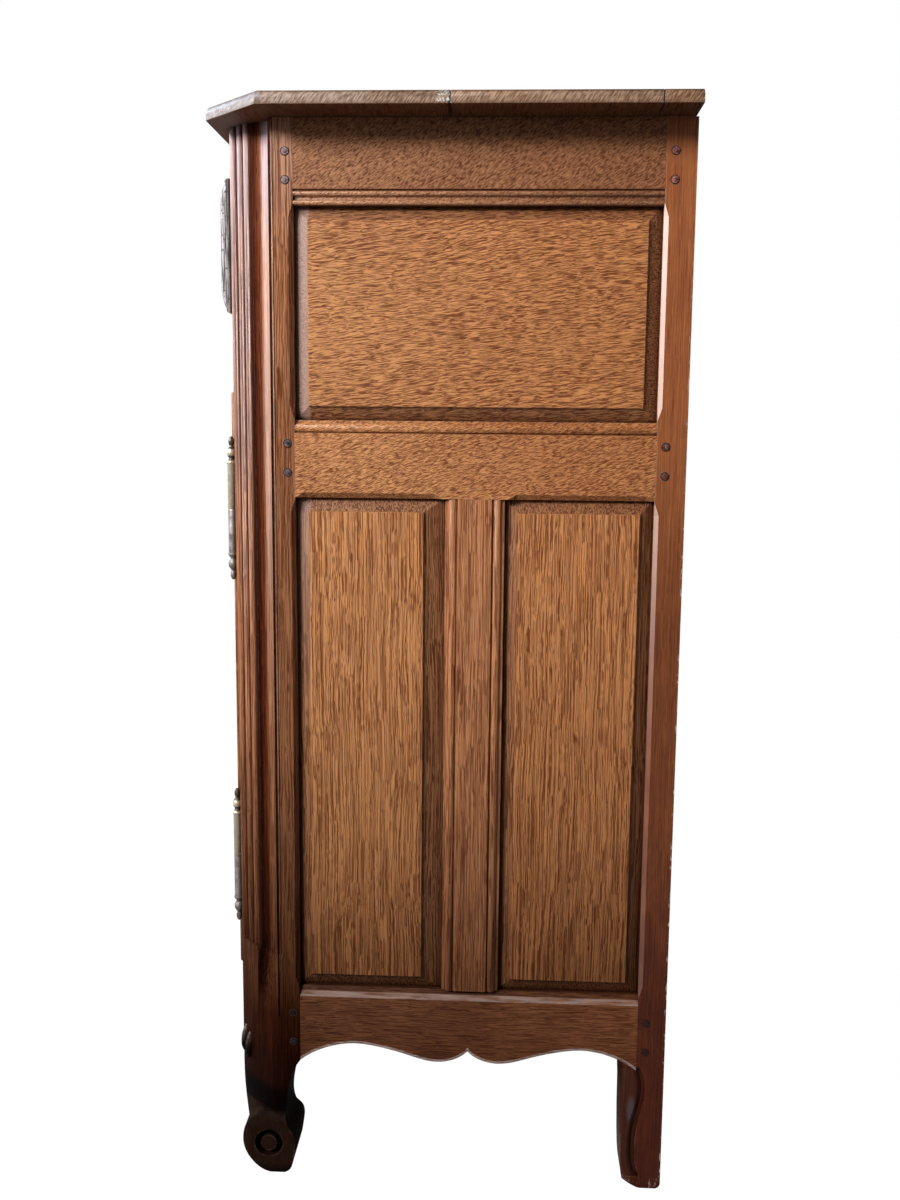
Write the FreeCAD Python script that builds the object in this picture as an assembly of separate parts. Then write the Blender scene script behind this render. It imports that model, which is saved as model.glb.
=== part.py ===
import FreeCAD, Part
import math
import os

# Jelly cupboard: a framed and panelled oak cupboard with one drawer over one door.
# Millimetres. +Z is up, the front faces -Y, the right side (hinge side) is +X.
# The origin is on the floor, at the middle of the overall box.

V = FreeCAD.Vector

# Carcass
CARCASS_WIDTH = 800.0
CARCASS_DEPTH = 536.0
CARCASS_HEIGHT = 1284.0

# Top boards
TOP_THICKNESS = 16.0
TOP_SIDE_OVERHANG = 55.0
TOP_FRONT_OVERHANG = 17.0
TOP_BACK_SETBACK = 2.5
TOP_CANT = 70.0
TOP_EDGE_ROUND = 9.0
BACK_BOARD_DEPTH = 42.5
MIDDLE_BOARD_DEPTH = 227.0

# Posts
FRONT_POST_DEPTH = 84.0
FRONT_POST_WIDTH = 84.0
BACK_POST_DEPTH = 34.5
BACK_POST_WIDTH = 58.0
POST_CANT = 56.4
BEAD_WIDTH = 3.6
QUIRK_WIDTH = 2.2
QUIRK_DEPTH = 3.0
COVE_CHORD = 33.0
COVE_SINK = 7.7
REED_COUNT = 3
REED_BULGE = 4.4
REED_LAND = 2.0
REED_FILLET = 5.0
REEDS_END_Z = 296.0
QUIRK_END_Z = 214.0
COVE_END_Z = 212.0
LEG_BULGE = 6.0
LEG_TOP_Z = 170.0
LEG_END_Z = 52.0
SCROLL_TOP_Z = 82.0
SCROLL_CORNER = 20.0
VOLUTE_DEPTH_IN = 42.5
VOLUTE_Z = 43.0
VOLUTE_RING = 18.0
VOLUTE_BOSS = 10.2
VOLUTE_SINK = 5.0
POST_CHAMFER = 5.0

# Back foot
WING_TOP_Z = 176.0
WING_WIDTH = 23.0
CARVING_SINK = 6.0
CARVING_GROOVE = 4.0
LEAF_SLOPE = 6.0
LEAF_FACE = 1.5

# Side frames
RAIL_THICKNESS = 26.0
TENON_THICKNESS = 9.0
TENON_FACE = 8.5
TENON_LENGTH = 24.0
TENON_SHOULDER = 8.0
TOP_RAIL_HEIGHT = 94.0
UPPER_PANEL_HEIGHT = 240.5
MIDDLE_RAIL_HEIGHT = 89.5
APRON_TOP = 254.0
APRON_CHAMFER = 12.0
APRON_CUSP = 175.0
APRON_DROP = 15.0
APRON_ARCH = 6.0
APRON_END = 18.0
MOULD_WIDTH = 15.0
MOULD_DEPTH = 4.0
MUNTIN_MIDDLE = 241.7
MUNTIN_WIDTH = 69.5

# Panels
PANEL_FACE = 3.0
PANEL_SHOULDER = 2.5
TONGUE_FACE = 12.0
TONGUE_THICKNESS = 7.0
GROOVE_DEPTH = 8.0
PANEL_GAP = 1.0
BEVEL_WIDTH = 16.0
BEVEL_WIDE = 25.0

# Pegs
PEG_RADIUS = 5.0
PEG_LENGTH = 20.0
PEG_PROUD = 0.6
PEG_PLAY = 0.05
FRONT_PEG_IN = 8.5
BACK_PEG_IN = 10.2
TOP_PEGS_DOWN = (36.0, 67.0)
MIDDLE_PEGS_DOWN = (27.0, 60.5)
BOTTOM_PEGS_DOWN = (34.0, 72.0)

# Front frame
FRONT_TOP_RAIL_HEIGHT = 62.0
DRAWER_OPENING_HEIGHT = 143.0
FRONT_MIDDLE_RAIL_HEIGHT = 101.0
DOOR_SILL = 256.0
FRONT_APRON_CUSP = 184.0
FRONT_APRON_DROP = 22.0
FRONT_APRON_ARCH = 12.0
FRONT_APRON_END = 24.0
FRONT_PEG_SPREAD = 14.0

# Back frame
BACK_TOP_RAIL_HEIGHT = 94.0
BACK_BOTTOM_RAIL_TOP = 254.0
BACK_BOTTOM_RAIL_HEIGHT = 74.0
BACK_RAIL_THICKNESS = 24.0
BACK_BOARD_THICKNESS = 12.0
BACK_BOARD_FACE = 6.0
BACK_BOARD_COUNT = 5

# Inside
SHELF_THICKNESS = 18.0
SHELF_PLAY = 1.0
LOWER_SHELF_SHARE = 0.2914
UPPER_SHELF_SHARE = 0.5878
BOTTOM_Z = 234.0
BOTTOM_BOARD_COUNT = 3
CLEAT_WIDTH = 20.0
CLEAT_HEIGHT = 26.0

# Drawer
DRAWER_LIP = 14.0
DRAWER_LIP_BELOW = 2.5
DRAWER_LIP_ABOVE = 10.5
DRAWER_PROUD = 16.0
DRAWER_EDGE_PROUD = 9.5
DRAWER_ROUND = 30.0
DRAWER_END_ROUND = 5.0
DRAWER_CORNER_ROUND = 4.0
DRAWER_INSET = 14.0
DRAWER_PLAY = 2.5
DRAWER_SEAT = 0.3
DRAWER_LENGTH = 430.0
DRAWER_HEADROOM = 6.0
DRAWER_SIDE = 12.0
DRAWER_BACK = 12.0
DRAWER_BOTTOM = 8.0
DRAWER_GROOVE = 5.0
DRAWER_BOTTOM_LIFT = 10.0
TAIL_COUNT = 3
TAIL_LENGTH = 9.0
TAIL_WIDTH = 24.0
TAIL_NECK = 17.0
RUNNER_WIDTH = 24.0
RUNNER_HEIGHT = 24.0
GUIDE_HEIGHT = 22.0
KICKER_HEIGHT = 18.0

# Pulls
PULL_OFFSET = 165.0
PULL_PLATE_LENGTH = 108.0
PULL_PLATE_HEIGHT = 34.0
PULL_PLATE_THICKNESS = 1.6
PULL_POST_SPREAD = 36.0
PULL_POST_RADIUS = 4.6
PULL_POST_LENGTH = 13.0
BAIL_OFF_PLATE = 8.0
BAIL_RADIUS = 2.6
BAIL_PIN_RADIUS = 2.0
BAIL_PLAY = 0.05
BAIL_DROP = 32.0
BAIL_BEND = 14.0
BAIL_GAP = 0.8

# Door
DOOR_LIP = 8.0
DOOR_LIP_TOP = 5.0
DOOR_LIP_BOTTOM = 6.0
DOOR_PROUD = 7.5
DOOR_BEARING_GAP = 0.6
DOOR_INSET = 20.0
DOOR_PLAY = 2.0
DOOR_EDGE_ROUND = 3.0
STILE_WIDTH = 98.0
DOOR_TOP_RAIL_HEIGHT = 96.0
DOOR_BOTTOM_RAIL_HEIGHT = 104.0
DOOR_ARCH_RISE = 40.0
DOOR_TENON_LENGTH = 40.0
DOOR_TENON_FACE = 10.0
DOOR_CHAMFER = 6.0
DOOR_PEG_SPREAD = 18.0
DOOR_PEG_IN = 14.0

# Hinges
HINGE_INSET = 69.0
HINGE_STANDOFF = 6.3
KNUCKLE_RADIUS = 5.2
KNUCKLE_LENGTH = 55.0
KNUCKLE_GAP = 0.3
HINGE_PIN_RADIUS = 3.0
HINGE_PIN_PLAY = 0.05
HINGE_PIN_LENGTH = 42.0
HINGE_LEAF_THICKNESS = 2.0
HINGE_LEAF_REACH = 28.0
HINGE_LEAF_MARGIN = 5.0
FINIAL_RADIUS = 5.9
FINIAL_GAP = 1.0
FINIAL_LENGTH = 33.0
HINGE_BELOW_DOOR_TOP = 141.5
HINGE_ABOVE_DOOR_BOTTOM = 147.5

# Lock
KEY_FROM_POST = 41.0
LOCK_CASE_LENGTH = 76.0
LOCK_CASE_HEIGHT = 64.0
LOCK_CASE_DEPTH = 16.0
LOCK_CASE_WALL = 1.5
BOLT_TRAVEL = 10.0
BOLT_HEIGHT = 12.0
BOLT_THICKNESS = 6.0
BOLT_PLAY = 0.3
BOLT_ABOVE_KEY = 5.0
BOLT_BACKLASH = 3.6
TAIL_BLOCK = 6.0
KEEP_THICKNESS = 1.5
KEEP_MARGIN = 9.0
KEY_RADIUS = 2.5
KEY_PLAY = 0.5
KEY_BIT_LENGTH = 10.0
KEY_BIT_THICKNESS = 2.0
KEY_STANDS_OUT = 9.0
BOW_RADIUS = 8.0
BOW_WIRE = 2.0
ESCUTCHEON_WIDTH = 26.0
ESCUTCHEON_HEIGHT = 58.0
ESCUTCHEON_THICKNESS = 1.2

# Places worked out from the sizes above
HALF = CARCASS_WIDTH / 2
KEY_REACH = DOOR_PROUD + KEY_STANDS_OUT + 2 * (BOW_RADIUS + BOW_WIRE)
PULL_REACH = DRAWER_PROUD + PULL_PLATE_THICKNESS + PULL_POST_LENGTH
FRONT_REACH = max(KEY_REACH, PULL_REACH)
BACK_Y = (CARCASS_DEPTH + FRONT_REACH) / 2
FRONT_Y = BACK_Y - CARCASS_DEPTH
FRONT_JOINT = CARCASS_DEPTH - FRONT_POST_DEPTH
BACK_JOINT = BACK_POST_DEPTH
SIDE_INNER = HALF - RAIL_THICKNESS
FRONT_OPENING = HALF - FRONT_POST_WIDTH
BACK_OPENING = HALF - BACK_POST_WIDTH
TOP_RAIL_BOTTOM = CARCASS_HEIGHT - TOP_RAIL_HEIGHT
MIDDLE_RAIL_TOP = TOP_RAIL_BOTTOM - UPPER_PANEL_HEIGHT
MIDDLE_RAIL_BOTTOM = MIDDLE_RAIL_TOP - MIDDLE_RAIL_HEIGHT
FRONT_TOP_RAIL_BOTTOM = CARCASS_HEIGHT - FRONT_TOP_RAIL_HEIGHT
DRAWER_SILL = FRONT_TOP_RAIL_BOTTOM - DRAWER_OPENING_HEIGHT
DOOR_HEAD = DRAWER_SILL - FRONT_MIDDLE_RAIL_HEIGHT
BACK_TOP_RAIL_BOTTOM = CARCASS_HEIGHT - BACK_TOP_RAIL_HEIGHT
BACK_BOTTOM_RAIL_BOTTOM = BACK_BOTTOM_RAIL_TOP - BACK_BOTTOM_RAIL_HEIGHT
INSIDE_FLOOR = BOTTOM_Z + SHELF_THICKNESS
INSIDE_HEIGHT = DRAWER_SILL - RUNNER_HEIGHT - INSIDE_FLOOR
LOWER_SHELF_Z = INSIDE_FLOOR + LOWER_SHELF_SHARE * INSIDE_HEIGHT
UPPER_SHELF_Z = INSIDE_FLOOR + UPPER_SHELF_SHARE * INSIDE_HEIGHT
MUNTIN_FRONT = MUNTIN_MIDDLE + MUNTIN_WIDTH / 2
MUNTIN_BACK = MUNTIN_MIDDLE - MUNTIN_WIDTH / 2
HINGE_X = HALF - HINGE_INSET
HINGE_Y = FRONT_Y - HINGE_STANDOFF
KEY_X = -(FRONT_OPENING - KEY_FROM_POST)
DOOR_FRONT_Y = FRONT_Y - DOOR_PROUD
DOOR_BACK_Y = FRONT_Y + DOOR_INSET
DOOR_BOTTOM = DOOR_SILL - DOOR_LIP_BOTTOM
DOOR_TOP = DOOR_HEAD + DOOR_LIP_TOP
UPPER_HINGE_Z = DOOR_TOP - HINGE_BELOW_DOOR_TOP
LOWER_HINGE_Z = DOOR_BOTTOM + HINGE_ABOVE_DOOR_BOTTOM
LOCK_Z = (DOOR_BOTTOM + DOOR_TOP) / 2
DRAWER_MIDDLE_Z = (DRAWER_SILL + FRONT_TOP_RAIL_BOTTOM) / 2
DRAWER_FLOOR = DRAWER_SILL + DRAWER_SEAT
DRAWER_HEIGHT = DRAWER_OPENING_HEIGHT - DRAWER_HEADROOM
DRAWER_HALF = FRONT_OPENING - DRAWER_PLAY


# Shared helpers

def depth(d):
    """Y of a place that lies d in front of the posts' back faces."""
    return BACK_Y - d


def box(x0, x1, y0, y1, z0, z1):
    low = V(min(x0, x1), min(y0, y1), min(z0, z1))
    return Part.makeBox(abs(x1 - x0), abs(y1 - y0), abs(z1 - z0), low)


def outline(start, steps, place):
    """Closed wire from lines, arcs (via, end) and curves through points, set in space by place."""
    edges = []
    here = start
    for kind, *points in steps:
        if kind == "line":
            for point in points:
                edges.append(Part.makeLine(place(here), place(point)))
                here = point
            continue
        if kind == "arc":
            edges.append(Part.Arc(place(here), place(points[0]), place(points[1])).toShape())
        else:
            spline = Part.BSplineCurve()
            spline.interpolate([place(here)] + [place(point) for point in points])
            edges.append(spline.toShape())
        here = points[-1]
    if (place(here) - place(start)).Length > 1e-6:
        edges.append(Part.makeLine(place(here), place(start)))
    return Part.Wire(edges)


def extrude(wire, direction):
    body = Part.Face(wire).extrude(direction)
    return body if body.Volume > 0 else body.reversed()


def fuse(first, *others):
    return first.multiFuse(list(others)).removeSplitter()


def mirrored(shape):
    return shape.mirror(V(0, 0, 0), V(1, 0, 0))


def both_sides(name, shape):
    save(name + "_right", shape)
    save(name + "_left", mirrored(shape))


def save(name, *solids):
    shape = solids[0] if len(solids) == 1 else Part.makeCompound(list(solids))
    if not shape.isValid():
        print("invalid", name)
    shape.exportStep("parts/" + name + ".step")
    print(name, len(shape.Solids), round(shape.Volume / 1000, 1), "cm3")


def rectangle(u0, u1, v0, v1, place):
    return outline((u0, v0), [("line", (u1, v0), (u1, v1), (u0, v1))], place)


def loft(*wires):
    return Part.makeLoft(list(wires), True, True)


def plan(z):
    """Places (in from the right side, depth from the back) at height z."""
    return lambda p: V(HALF - p[0], depth(p[1]), z)


def rail_end(d):
    """Places (in from the right side, height) at depth d."""
    return lambda p: V(HALF - p[0], depth(d), p[1])


def side_view(inward):
    """Places (depth, height) at a distance in from the right side."""
    return lambda p: V(HALF - inward, depth(p[0]), p[1])


def front_view(behind):
    """Places (x, height) at a distance behind the front plane."""
    return lambda p: V(p[0], FRONT_Y + behind, p[1])


# Mouldings and pegs

def bead_mould(edge, face, way):
    """Section steps of a quirked bead along a rail's edge, from the flat face out to the edge."""
    bead = MOULD_WIDTH * 0.55
    land = MOULD_WIDTH - QUIRK_WIDTH - bead
    flat_end = edge - way * MOULD_WIDTH
    bead_start = flat_end + way * QUIRK_WIDTH
    bead_end = bead_start + way * bead
    return [
        ("line", (face, flat_end), (face + QUIRK_DEPTH, flat_end + way * QUIRK_WIDTH / 2)),
        ("line", (face + QUIRK_DEPTH / 2, bead_start)),
        ("arc", (face + 0.2, (bead_start + bead_end) / 2), (face + MOULD_DEPTH / 2, bead_end)),
        ("line", (face + MOULD_DEPTH, bead_end + way * land / 3), (face + MOULD_DEPTH, edge)),
    ]


def double_bead_mould(edge, face):
    """Section steps of bead, hollow and bead along the top rail's lower edge."""
    step = MOULD_WIDTH / 3
    first = edge + MOULD_WIDTH
    return [
        ("line", (face, first + QUIRK_WIDTH), (face + QUIRK_DEPTH, first + QUIRK_WIDTH / 2)),
        ("line", (face + QUIRK_DEPTH / 2, first)),
        ("arc", (face + 0.2, first - step / 2), (face + QUIRK_DEPTH / 2, first - step)),
        ("arc", (face + MOULD_DEPTH, first - 1.5 * step), (face + QUIRK_DEPTH / 2, first - 2 * step)),
        ("arc", (face + 0.2, first - 2.5 * step), (face + MOULD_DEPTH / 2, edge)),
    ]


def peg(x, y, z, inward, proud=PEG_PROUD):
    """One round peg, its head just proud of the face at (x, y, z)."""
    start = V(x, y, z) - inward * proud
    return Part.makeCylinder(PEG_RADIUS, PEG_LENGTH + proud, start, inward)


def peg_hole(x, y, z, inward):
    start = V(x, y, z)
    return Part.makeCylinder(PEG_RADIUS + PEG_PLAY, PEG_LENGTH, start, inward)


def side_peg_places():
    places = []
    rails = (
        (CARCASS_HEIGHT, TOP_PEGS_DOWN),
        (MIDDLE_RAIL_TOP, MIDDLE_PEGS_DOWN),
        (APRON_TOP, BOTTOM_PEGS_DOWN),
    )
    for top, steps_down in rails:
        for down in steps_down:
            places.append((HALF, depth(FRONT_JOINT + FRONT_PEG_IN), top - down))
            places.append((HALF, depth(BACK_JOINT - BACK_PEG_IN), top - down))
    return places


def front_peg_places():
    places = []
    for low, high in ((FRONT_TOP_RAIL_BOTTOM, CARCASS_HEIGHT), (DOOR_HEAD, DRAWER_SILL), front_apron_band()):
        middle = (low + high) / 2
        for z in (middle - FRONT_PEG_SPREAD, middle + FRONT_PEG_SPREAD):
            places.append((FRONT_OPENING + FRONT_PEG_IN, FRONT_Y, z))
    return places


def back_peg_places():
    places = []
    bands = ((BACK_TOP_RAIL_BOTTOM, CARCASS_HEIGHT), (BACK_BOTTOM_RAIL_BOTTOM, BACK_BOTTOM_RAIL_TOP))
    for low, high in bands:
        middle = (low + high) / 2
        for z in (middle - FRONT_PEG_SPREAD, middle + FRONT_PEG_SPREAD):
            places.append((BACK_OPENING + FRONT_PEG_IN, BACK_Y, z))
    return places


LEFTWARD = V(-1, 0, 0)
REARWARD = V(0, 1, 0)
FORWARD = V(0, -1, 0)


def side_peg_holes():
    return [peg_hole(*place, LEFTWARD) for place in side_peg_places()]


def front_peg_holes():
    return [peg_hole(*place, REARWARD) for place in front_peg_places()]


def back_peg_holes():
    return [peg_hole(*place, FORWARD) for place in back_peg_places()]


# Tenons

def side_tenons(low, high):
    """Tenons of a side rail into the front and back posts."""
    x0 = HALF - TENON_FACE
    x1 = x0 - TENON_THICKNESS
    z0 = low + TENON_SHOULDER
    z1 = high - TENON_SHOULDER
    front = box(x0, x1, depth(FRONT_JOINT), depth(FRONT_JOINT + TENON_LENGTH), z0, z1)
    back = box(x0, x1, depth(BACK_JOINT), depth(BACK_JOINT - TENON_LENGTH), z0, z1)
    return [front, back]


def side_rail_bands():
    return (
        (TOP_RAIL_BOTTOM, CARCASS_HEIGHT),
        (MIDDLE_RAIL_BOTTOM, MIDDLE_RAIL_TOP),
        (APRON_CUSP, APRON_TOP),
    )


def front_apron_band():
    return (FRONT_APRON_CUSP, DOOR_SILL)


def front_tenons(low, high):
    """Right-hand tenon of a front rail; the left one mirrors it."""
    y0 = FRONT_Y + TENON_FACE
    z0 = low + TENON_SHOULDER
    z1 = high - TENON_SHOULDER
    x1 = FRONT_OPENING + TENON_LENGTH
    return [box(FRONT_OPENING, x1, y0, y0 + TENON_THICKNESS, z0, z1)]


def front_rail_bands():
    return ((FRONT_TOP_RAIL_BOTTOM, CARCASS_HEIGHT), (DOOR_HEAD, DRAWER_SILL), front_apron_band())


def back_tenons(low, high):
    y0 = BACK_Y - TENON_FACE
    z0 = low + TENON_SHOULDER
    z1 = high - TENON_SHOULDER
    x1 = BACK_OPENING + TENON_LENGTH
    return [box(BACK_OPENING, x1, y0 - TENON_THICKNESS, y0, z0, z1)]


def back_rail_bands():
    return (
        (BACK_TOP_RAIL_BOTTOM, CARCASS_HEIGHT),
        (BACK_BOTTOM_RAIL_BOTTOM, BACK_BOTTOM_RAIL_TOP),
    )


# Raised panels

def side_openings():
    """Frame openings of one side as (back depth, front depth, low, high)."""
    return {
        "side_upper_panel": (BACK_JOINT, FRONT_JOINT, MIDDLE_RAIL_TOP, TOP_RAIL_BOTTOM),
        "side_front_panel": (MUNTIN_FRONT, FRONT_JOINT, APRON_TOP, MIDDLE_RAIL_BOTTOM),
        "side_back_panel": (BACK_JOINT, MUNTIN_BACK, APRON_TOP, MIDDLE_RAIL_BOTTOM),
    }


def side_groove(opening, gap=0.0):
    """Tongue plate of a side panel, with gap added round it for the frame's groove."""
    d0, d1, z0, z1 = opening
    grow = GROOVE_DEPTH - PANEL_GAP + gap
    x0 = HALF - TONGUE_FACE
    return box(x0, x0 - TONGUE_THICKNESS, depth(d0 - grow), depth(d1 + grow), z0 - grow, z1 + grow)


def side_grooves():
    return [side_groove(opening, PANEL_GAP) for opening in side_openings().values()]


def side_panel(name, opening):
    d0, d1, z0, z1 = opening
    wide = BEVEL_WIDE if name == "side_front_panel" else BEVEL_WIDTH
    field = (d0 + wide, d1 - BEVEL_WIDTH, z0 + BEVEL_WIDTH, z1 - BEVEL_WIDTH)
    bevel_top = PANEL_FACE + PANEL_SHOULDER
    slope = loft(
        rectangle(d0, d1, z0, z1, side_view(TONGUE_FACE)), rectangle(*field, side_view(bevel_top))
    )
    raised = extrude(rectangle(*field, side_view(PANEL_FACE)), V(-(TONGUE_FACE - PANEL_FACE), 0, 0))
    return fuse(side_groove(opening), slope, raised)


# Posts

def cant_point(s, out=0.0):
    """Point of the front post's section, s along its canted corner and out from it."""
    start = CARCASS_DEPTH - POST_CANT
    return ((s - out) / math.sqrt(2), start + (s + out) / math.sqrt(2))


def reeded_section(z):
    """Section of the front post: flat cheek, bead and quirk, cove, reeds, front face."""
    start = CARCASS_DEPTH - POST_CANT
    bead_start = start - QUIRK_WIDTH - BEAD_WIDTH
    bead_end = start - QUIRK_WIDTH
    cant_length = POST_CANT * math.sqrt(2)
    reed = (cant_length - COVE_CHORD - REED_LAND - REED_FILLET) / REED_COUNT
    steps = [
        ("line", (0, bead_start), (QUIRK_DEPTH / 2, bead_start + BEAD_WIDTH / 5)),
        ("arc", (0.1, (bead_start + bead_end) / 2), (QUIRK_DEPTH / 2, bead_end - BEAD_WIDTH / 5)),
        ("line", (QUIRK_DEPTH, bead_end), (QUIRK_DEPTH, start - QUIRK_WIDTH / 4), (0.4, start)),
        ("arc", cant_point(COVE_CHORD / 2, -COVE_SINK), cant_point(COVE_CHORD)),
        ("line", cant_point(COVE_CHORD + REED_LAND, -REED_LAND / 2)),
    ]
    for n in range(REED_COUNT):
        first = COVE_CHORD + REED_LAND + n * reed
        steps.append(("arc", cant_point(first + reed / 2, REED_BULGE), cant_point(first + reed, -0.5)))
    steps.append(("line", (POST_CANT + REED_LAND, CARCASS_DEPTH)))
    steps.append(("line", (FRONT_POST_WIDTH, CARCASS_DEPTH), (FRONT_POST_WIDTH, FRONT_JOINT)))
    return outline((0, FRONT_JOINT), steps, plan(z))


def rounded_cant():
    """Section step of the corner where it is left uncut: a flat bow across the cant."""
    return ("arc", cant_point(POST_CANT / math.sqrt(2), LEG_BULGE), (POST_CANT, CARCASS_DEPTH))


def plain_section(z):
    """Section below the reeds: the same post with a bowed cant."""
    steps = [
        ("line", (0, CARCASS_DEPTH - POST_CANT)),
        rounded_cant(),
        ("line", (FRONT_POST_WIDTH, CARCASS_DEPTH), (FRONT_POST_WIDTH, FRONT_JOINT)),
    ]
    return outline((0, FRONT_JOINT), steps, plan(z))


def cove_run_out():
    """Cutters that let the cove fade out below the reeds and stop the quirk."""
    radius = (COVE_CHORD ** 2 / 4 + COVE_SINK ** 2) / (2 * COVE_SINK)
    rings = []
    for z, lift in ((REEDS_END_Z, 0), (COVE_END_Z, COVE_SINK + LEG_BULGE)):
        centre = plan(z)(cant_point(COVE_CHORD / 2, radius - COVE_SINK + lift))
        rings.append(Part.Wire([Part.makeCircle(radius, centre)]))
    start = CARCASS_DEPTH - POST_CANT
    quirk = box(HALF, HALF - QUIRK_DEPTH, depth(start - QUIRK_WIDTH), depth(start - QUIRK_WIDTH / 4),
                QUIRK_END_Z, REEDS_END_Z)
    return [loft(*rings), quirk]


def foot_heel(at):
    """Inner edge of the front foot, from the floor up to the top of the leg."""
    w = FRONT_POST_DEPTH
    h = LEG_TOP_Z
    return [
        ("curve", at(0.815 * w, 0.035 * h), at(0.887 * w, 0.165 * h), at(0.903 * w, 0.241 * h),
         at(0.869 * w, 0.324 * h), at(0.788 * w, 0.394 * h), at(0.757 * w, 0.453 * h)),
        ("curve", at(0.760 * w, 0.535 * h), at(0.787 * w, 0.641 * h), at(0.851 * w, 0.782 * h),
         at(w, 0.924 * h)),
        ("line", at(w, h)),
    ]


def leg_outline(at):
    """Outline of the leg, seen from the side and from the front alike."""
    w = FRONT_POST_DEPTH
    h = LEG_TOP_Z
    return [
        ("line", at(0, h)),
        ("curve", at(0.001 * w, 0.765 * h), at(0.012 * w, 0.588 * h), at(0.048 * w, 0.459 * h),
         at(0.107 * w, LEG_END_Z)),
        ("line", at(0.869 * w, LEG_END_Z)),
    ] + foot_heel(at)[1:]


def scroll_side(at):
    """Outline of the scroll seen from the side, rolled over at the top and tucked under at the floor."""
    w = FRONT_POST_DEPTH
    h = SCROLL_TOP_Z
    return [
        ("line", at(0.536 * w, h)),
        ("curve", at(0.357 * w, 0.985 * h), at(0.226 * w, 0.902 * h), at(0.143 * w, 0.780 * h),
         at(0.110 * w, 0.634 * h), at(0.113 * w, 0.488 * h), at(0.185 * w, 0.317 * h),
         at(0.310 * w, 0.159 * h), at(0.417 * w, 0.055 * h), at(0.506 * w, 0)),
        ("line", at(0.726 * w, 0)),
    ] + foot_heel(at)


def scroll_front(at):
    """Outline of the scroll seen from the front: it stands out below the leg."""
    w = FRONT_POST_DEPTH
    h = SCROLL_TOP_Z
    return [
        ("line", at(0.083 * w, h)),
        ("curve", at(0.024 * w, 0.927 * h), at(0.005 * w, 0.829 * h), at(0.002 * w, 0.524 * h),
         at(0.010 * w, 0.122 * h), at(0.060 * w, 0)),
        ("line", at(0.726 * w, 0)),
    ] + foot_heel(at)


def carved_both_ways(side_steps, front_steps, low, high):
    """Solid that shows one outline from the side and another from the front, between two heights."""
    from_front = lambda s, z: (CARCASS_DEPTH - s, z)
    from_side = lambda s, z: (HALF - s, z)
    reach = 1.05 * FRONT_POST_DEPTH
    top = (FRONT_POST_DEPTH, LEG_TOP_Z)
    side = extrude(outline(from_front(*top), side_steps(from_front), side_view(0)), V(-reach, 0, 0))
    front = extrude(outline(from_side(*top), front_steps(from_side), front_view(0)), V(0, reach, 0))
    return side.common(front).common(box(HALF, HALF - reach, FRONT_Y, FRONT_Y + reach, low, high))


def front_foot():
    """Scroll foot: a canted leg that ends in a tongue over the rolled scroll."""
    leg = carved_both_ways(leg_outline, leg_outline, LEG_END_Z, LEG_TOP_Z)
    corner = outline((0, CARCASS_DEPTH - POST_CANT), [rounded_cant(), ("line", (0, CARCASS_DEPTH))],
                     plan(LEG_END_Z))
    leg = leg.cut(extrude(corner, V(0, 0, LEG_TOP_Z - LEG_END_Z)))
    scroll = carved_both_ways(scroll_side, scroll_front, 0, SCROLL_TOP_Z)
    round_corner = outline((0, CARCASS_DEPTH - SCROLL_CORNER),
                           [("arc", (SCROLL_CORNER * 0.293, CARCASS_DEPTH - SCROLL_CORNER * 0.293),
                             (SCROLL_CORNER, CARCASS_DEPTH)), ("line", (0, CARCASS_DEPTH))], plan(0))
    scroll = scroll.cut(extrude(round_corner, V(0, 0, SCROLL_TOP_Z)))
    for ring in volute_rings():
        scroll = scroll.cut(ring)
    return fuse(leg, scroll)


def volute_rings():
    """Ring cuts that leave a round boss on the scroll's side and front faces."""
    rings = []
    for centre, axis in (
        (V(HALF, FRONT_Y + VOLUTE_DEPTH_IN, VOLUTE_Z), LEFTWARD),
        (V(HALF - VOLUTE_DEPTH_IN, FRONT_Y, VOLUTE_Z), REARWARD),
    ):
        outer = Part.makeCylinder(VOLUTE_RING, VOLUTE_SINK * 2, centre, axis)
        boss = Part.makeCylinder(VOLUTE_BOSS, VOLUTE_SINK * 2, centre, axis)
        rings.append(outer.cut(boss))
    return rings


def stopped_chamfer(d, way, z0, z1):
    """Cutter for a chamfer on a post's inner arris at depth d, with sloped stops at both ends."""
    reach = POST_CHAMFER
    inset = 3 * reach
    corners = [(0, d), (reach, d), (0, d + way * reach)]

    def triangle(z, size):
        scaled = [(a * size, d + (b - d) * size) for a, b in corners]
        return outline(scaled[0], [("line", scaled[1], scaled[2])], plan(z))

    small = 0.02
    return loft(triangle(z0, small), triangle(z0 + inset, 1), triangle(z1 - inset, 1), triangle(z1, small))


def panel_bands():
    """Heights between which the posts' inner arrises are chamfered."""
    return (
        (MIDDLE_RAIL_TOP + 2, TOP_RAIL_BOTTOM + 2),
        (APRON_TOP - 2, MIDDLE_RAIL_BOTTOM - 2),
    )


def front_post():
    upper = extrude(reeded_section(REEDS_END_Z), V(0, 0, CARCASS_HEIGHT - REEDS_END_Z))
    lower = extrude(plain_section(LEG_TOP_Z), V(0, 0, REEDS_END_Z - LEG_TOP_Z)).cut(cove_run_out())
    post = fuse(upper, lower, front_foot())
    cuts = side_grooves() + side_peg_holes() + front_peg_holes()
    for low, high in side_rail_bands():
        cuts += side_tenons(low, high)
    for low, high in front_rail_bands():
        cuts += front_tenons(low, high)
    for low, high in panel_bands():
        cuts.append(stopped_chamfer(FRONT_JOINT, 1, low, high))
    return post.cut(cuts)


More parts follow.
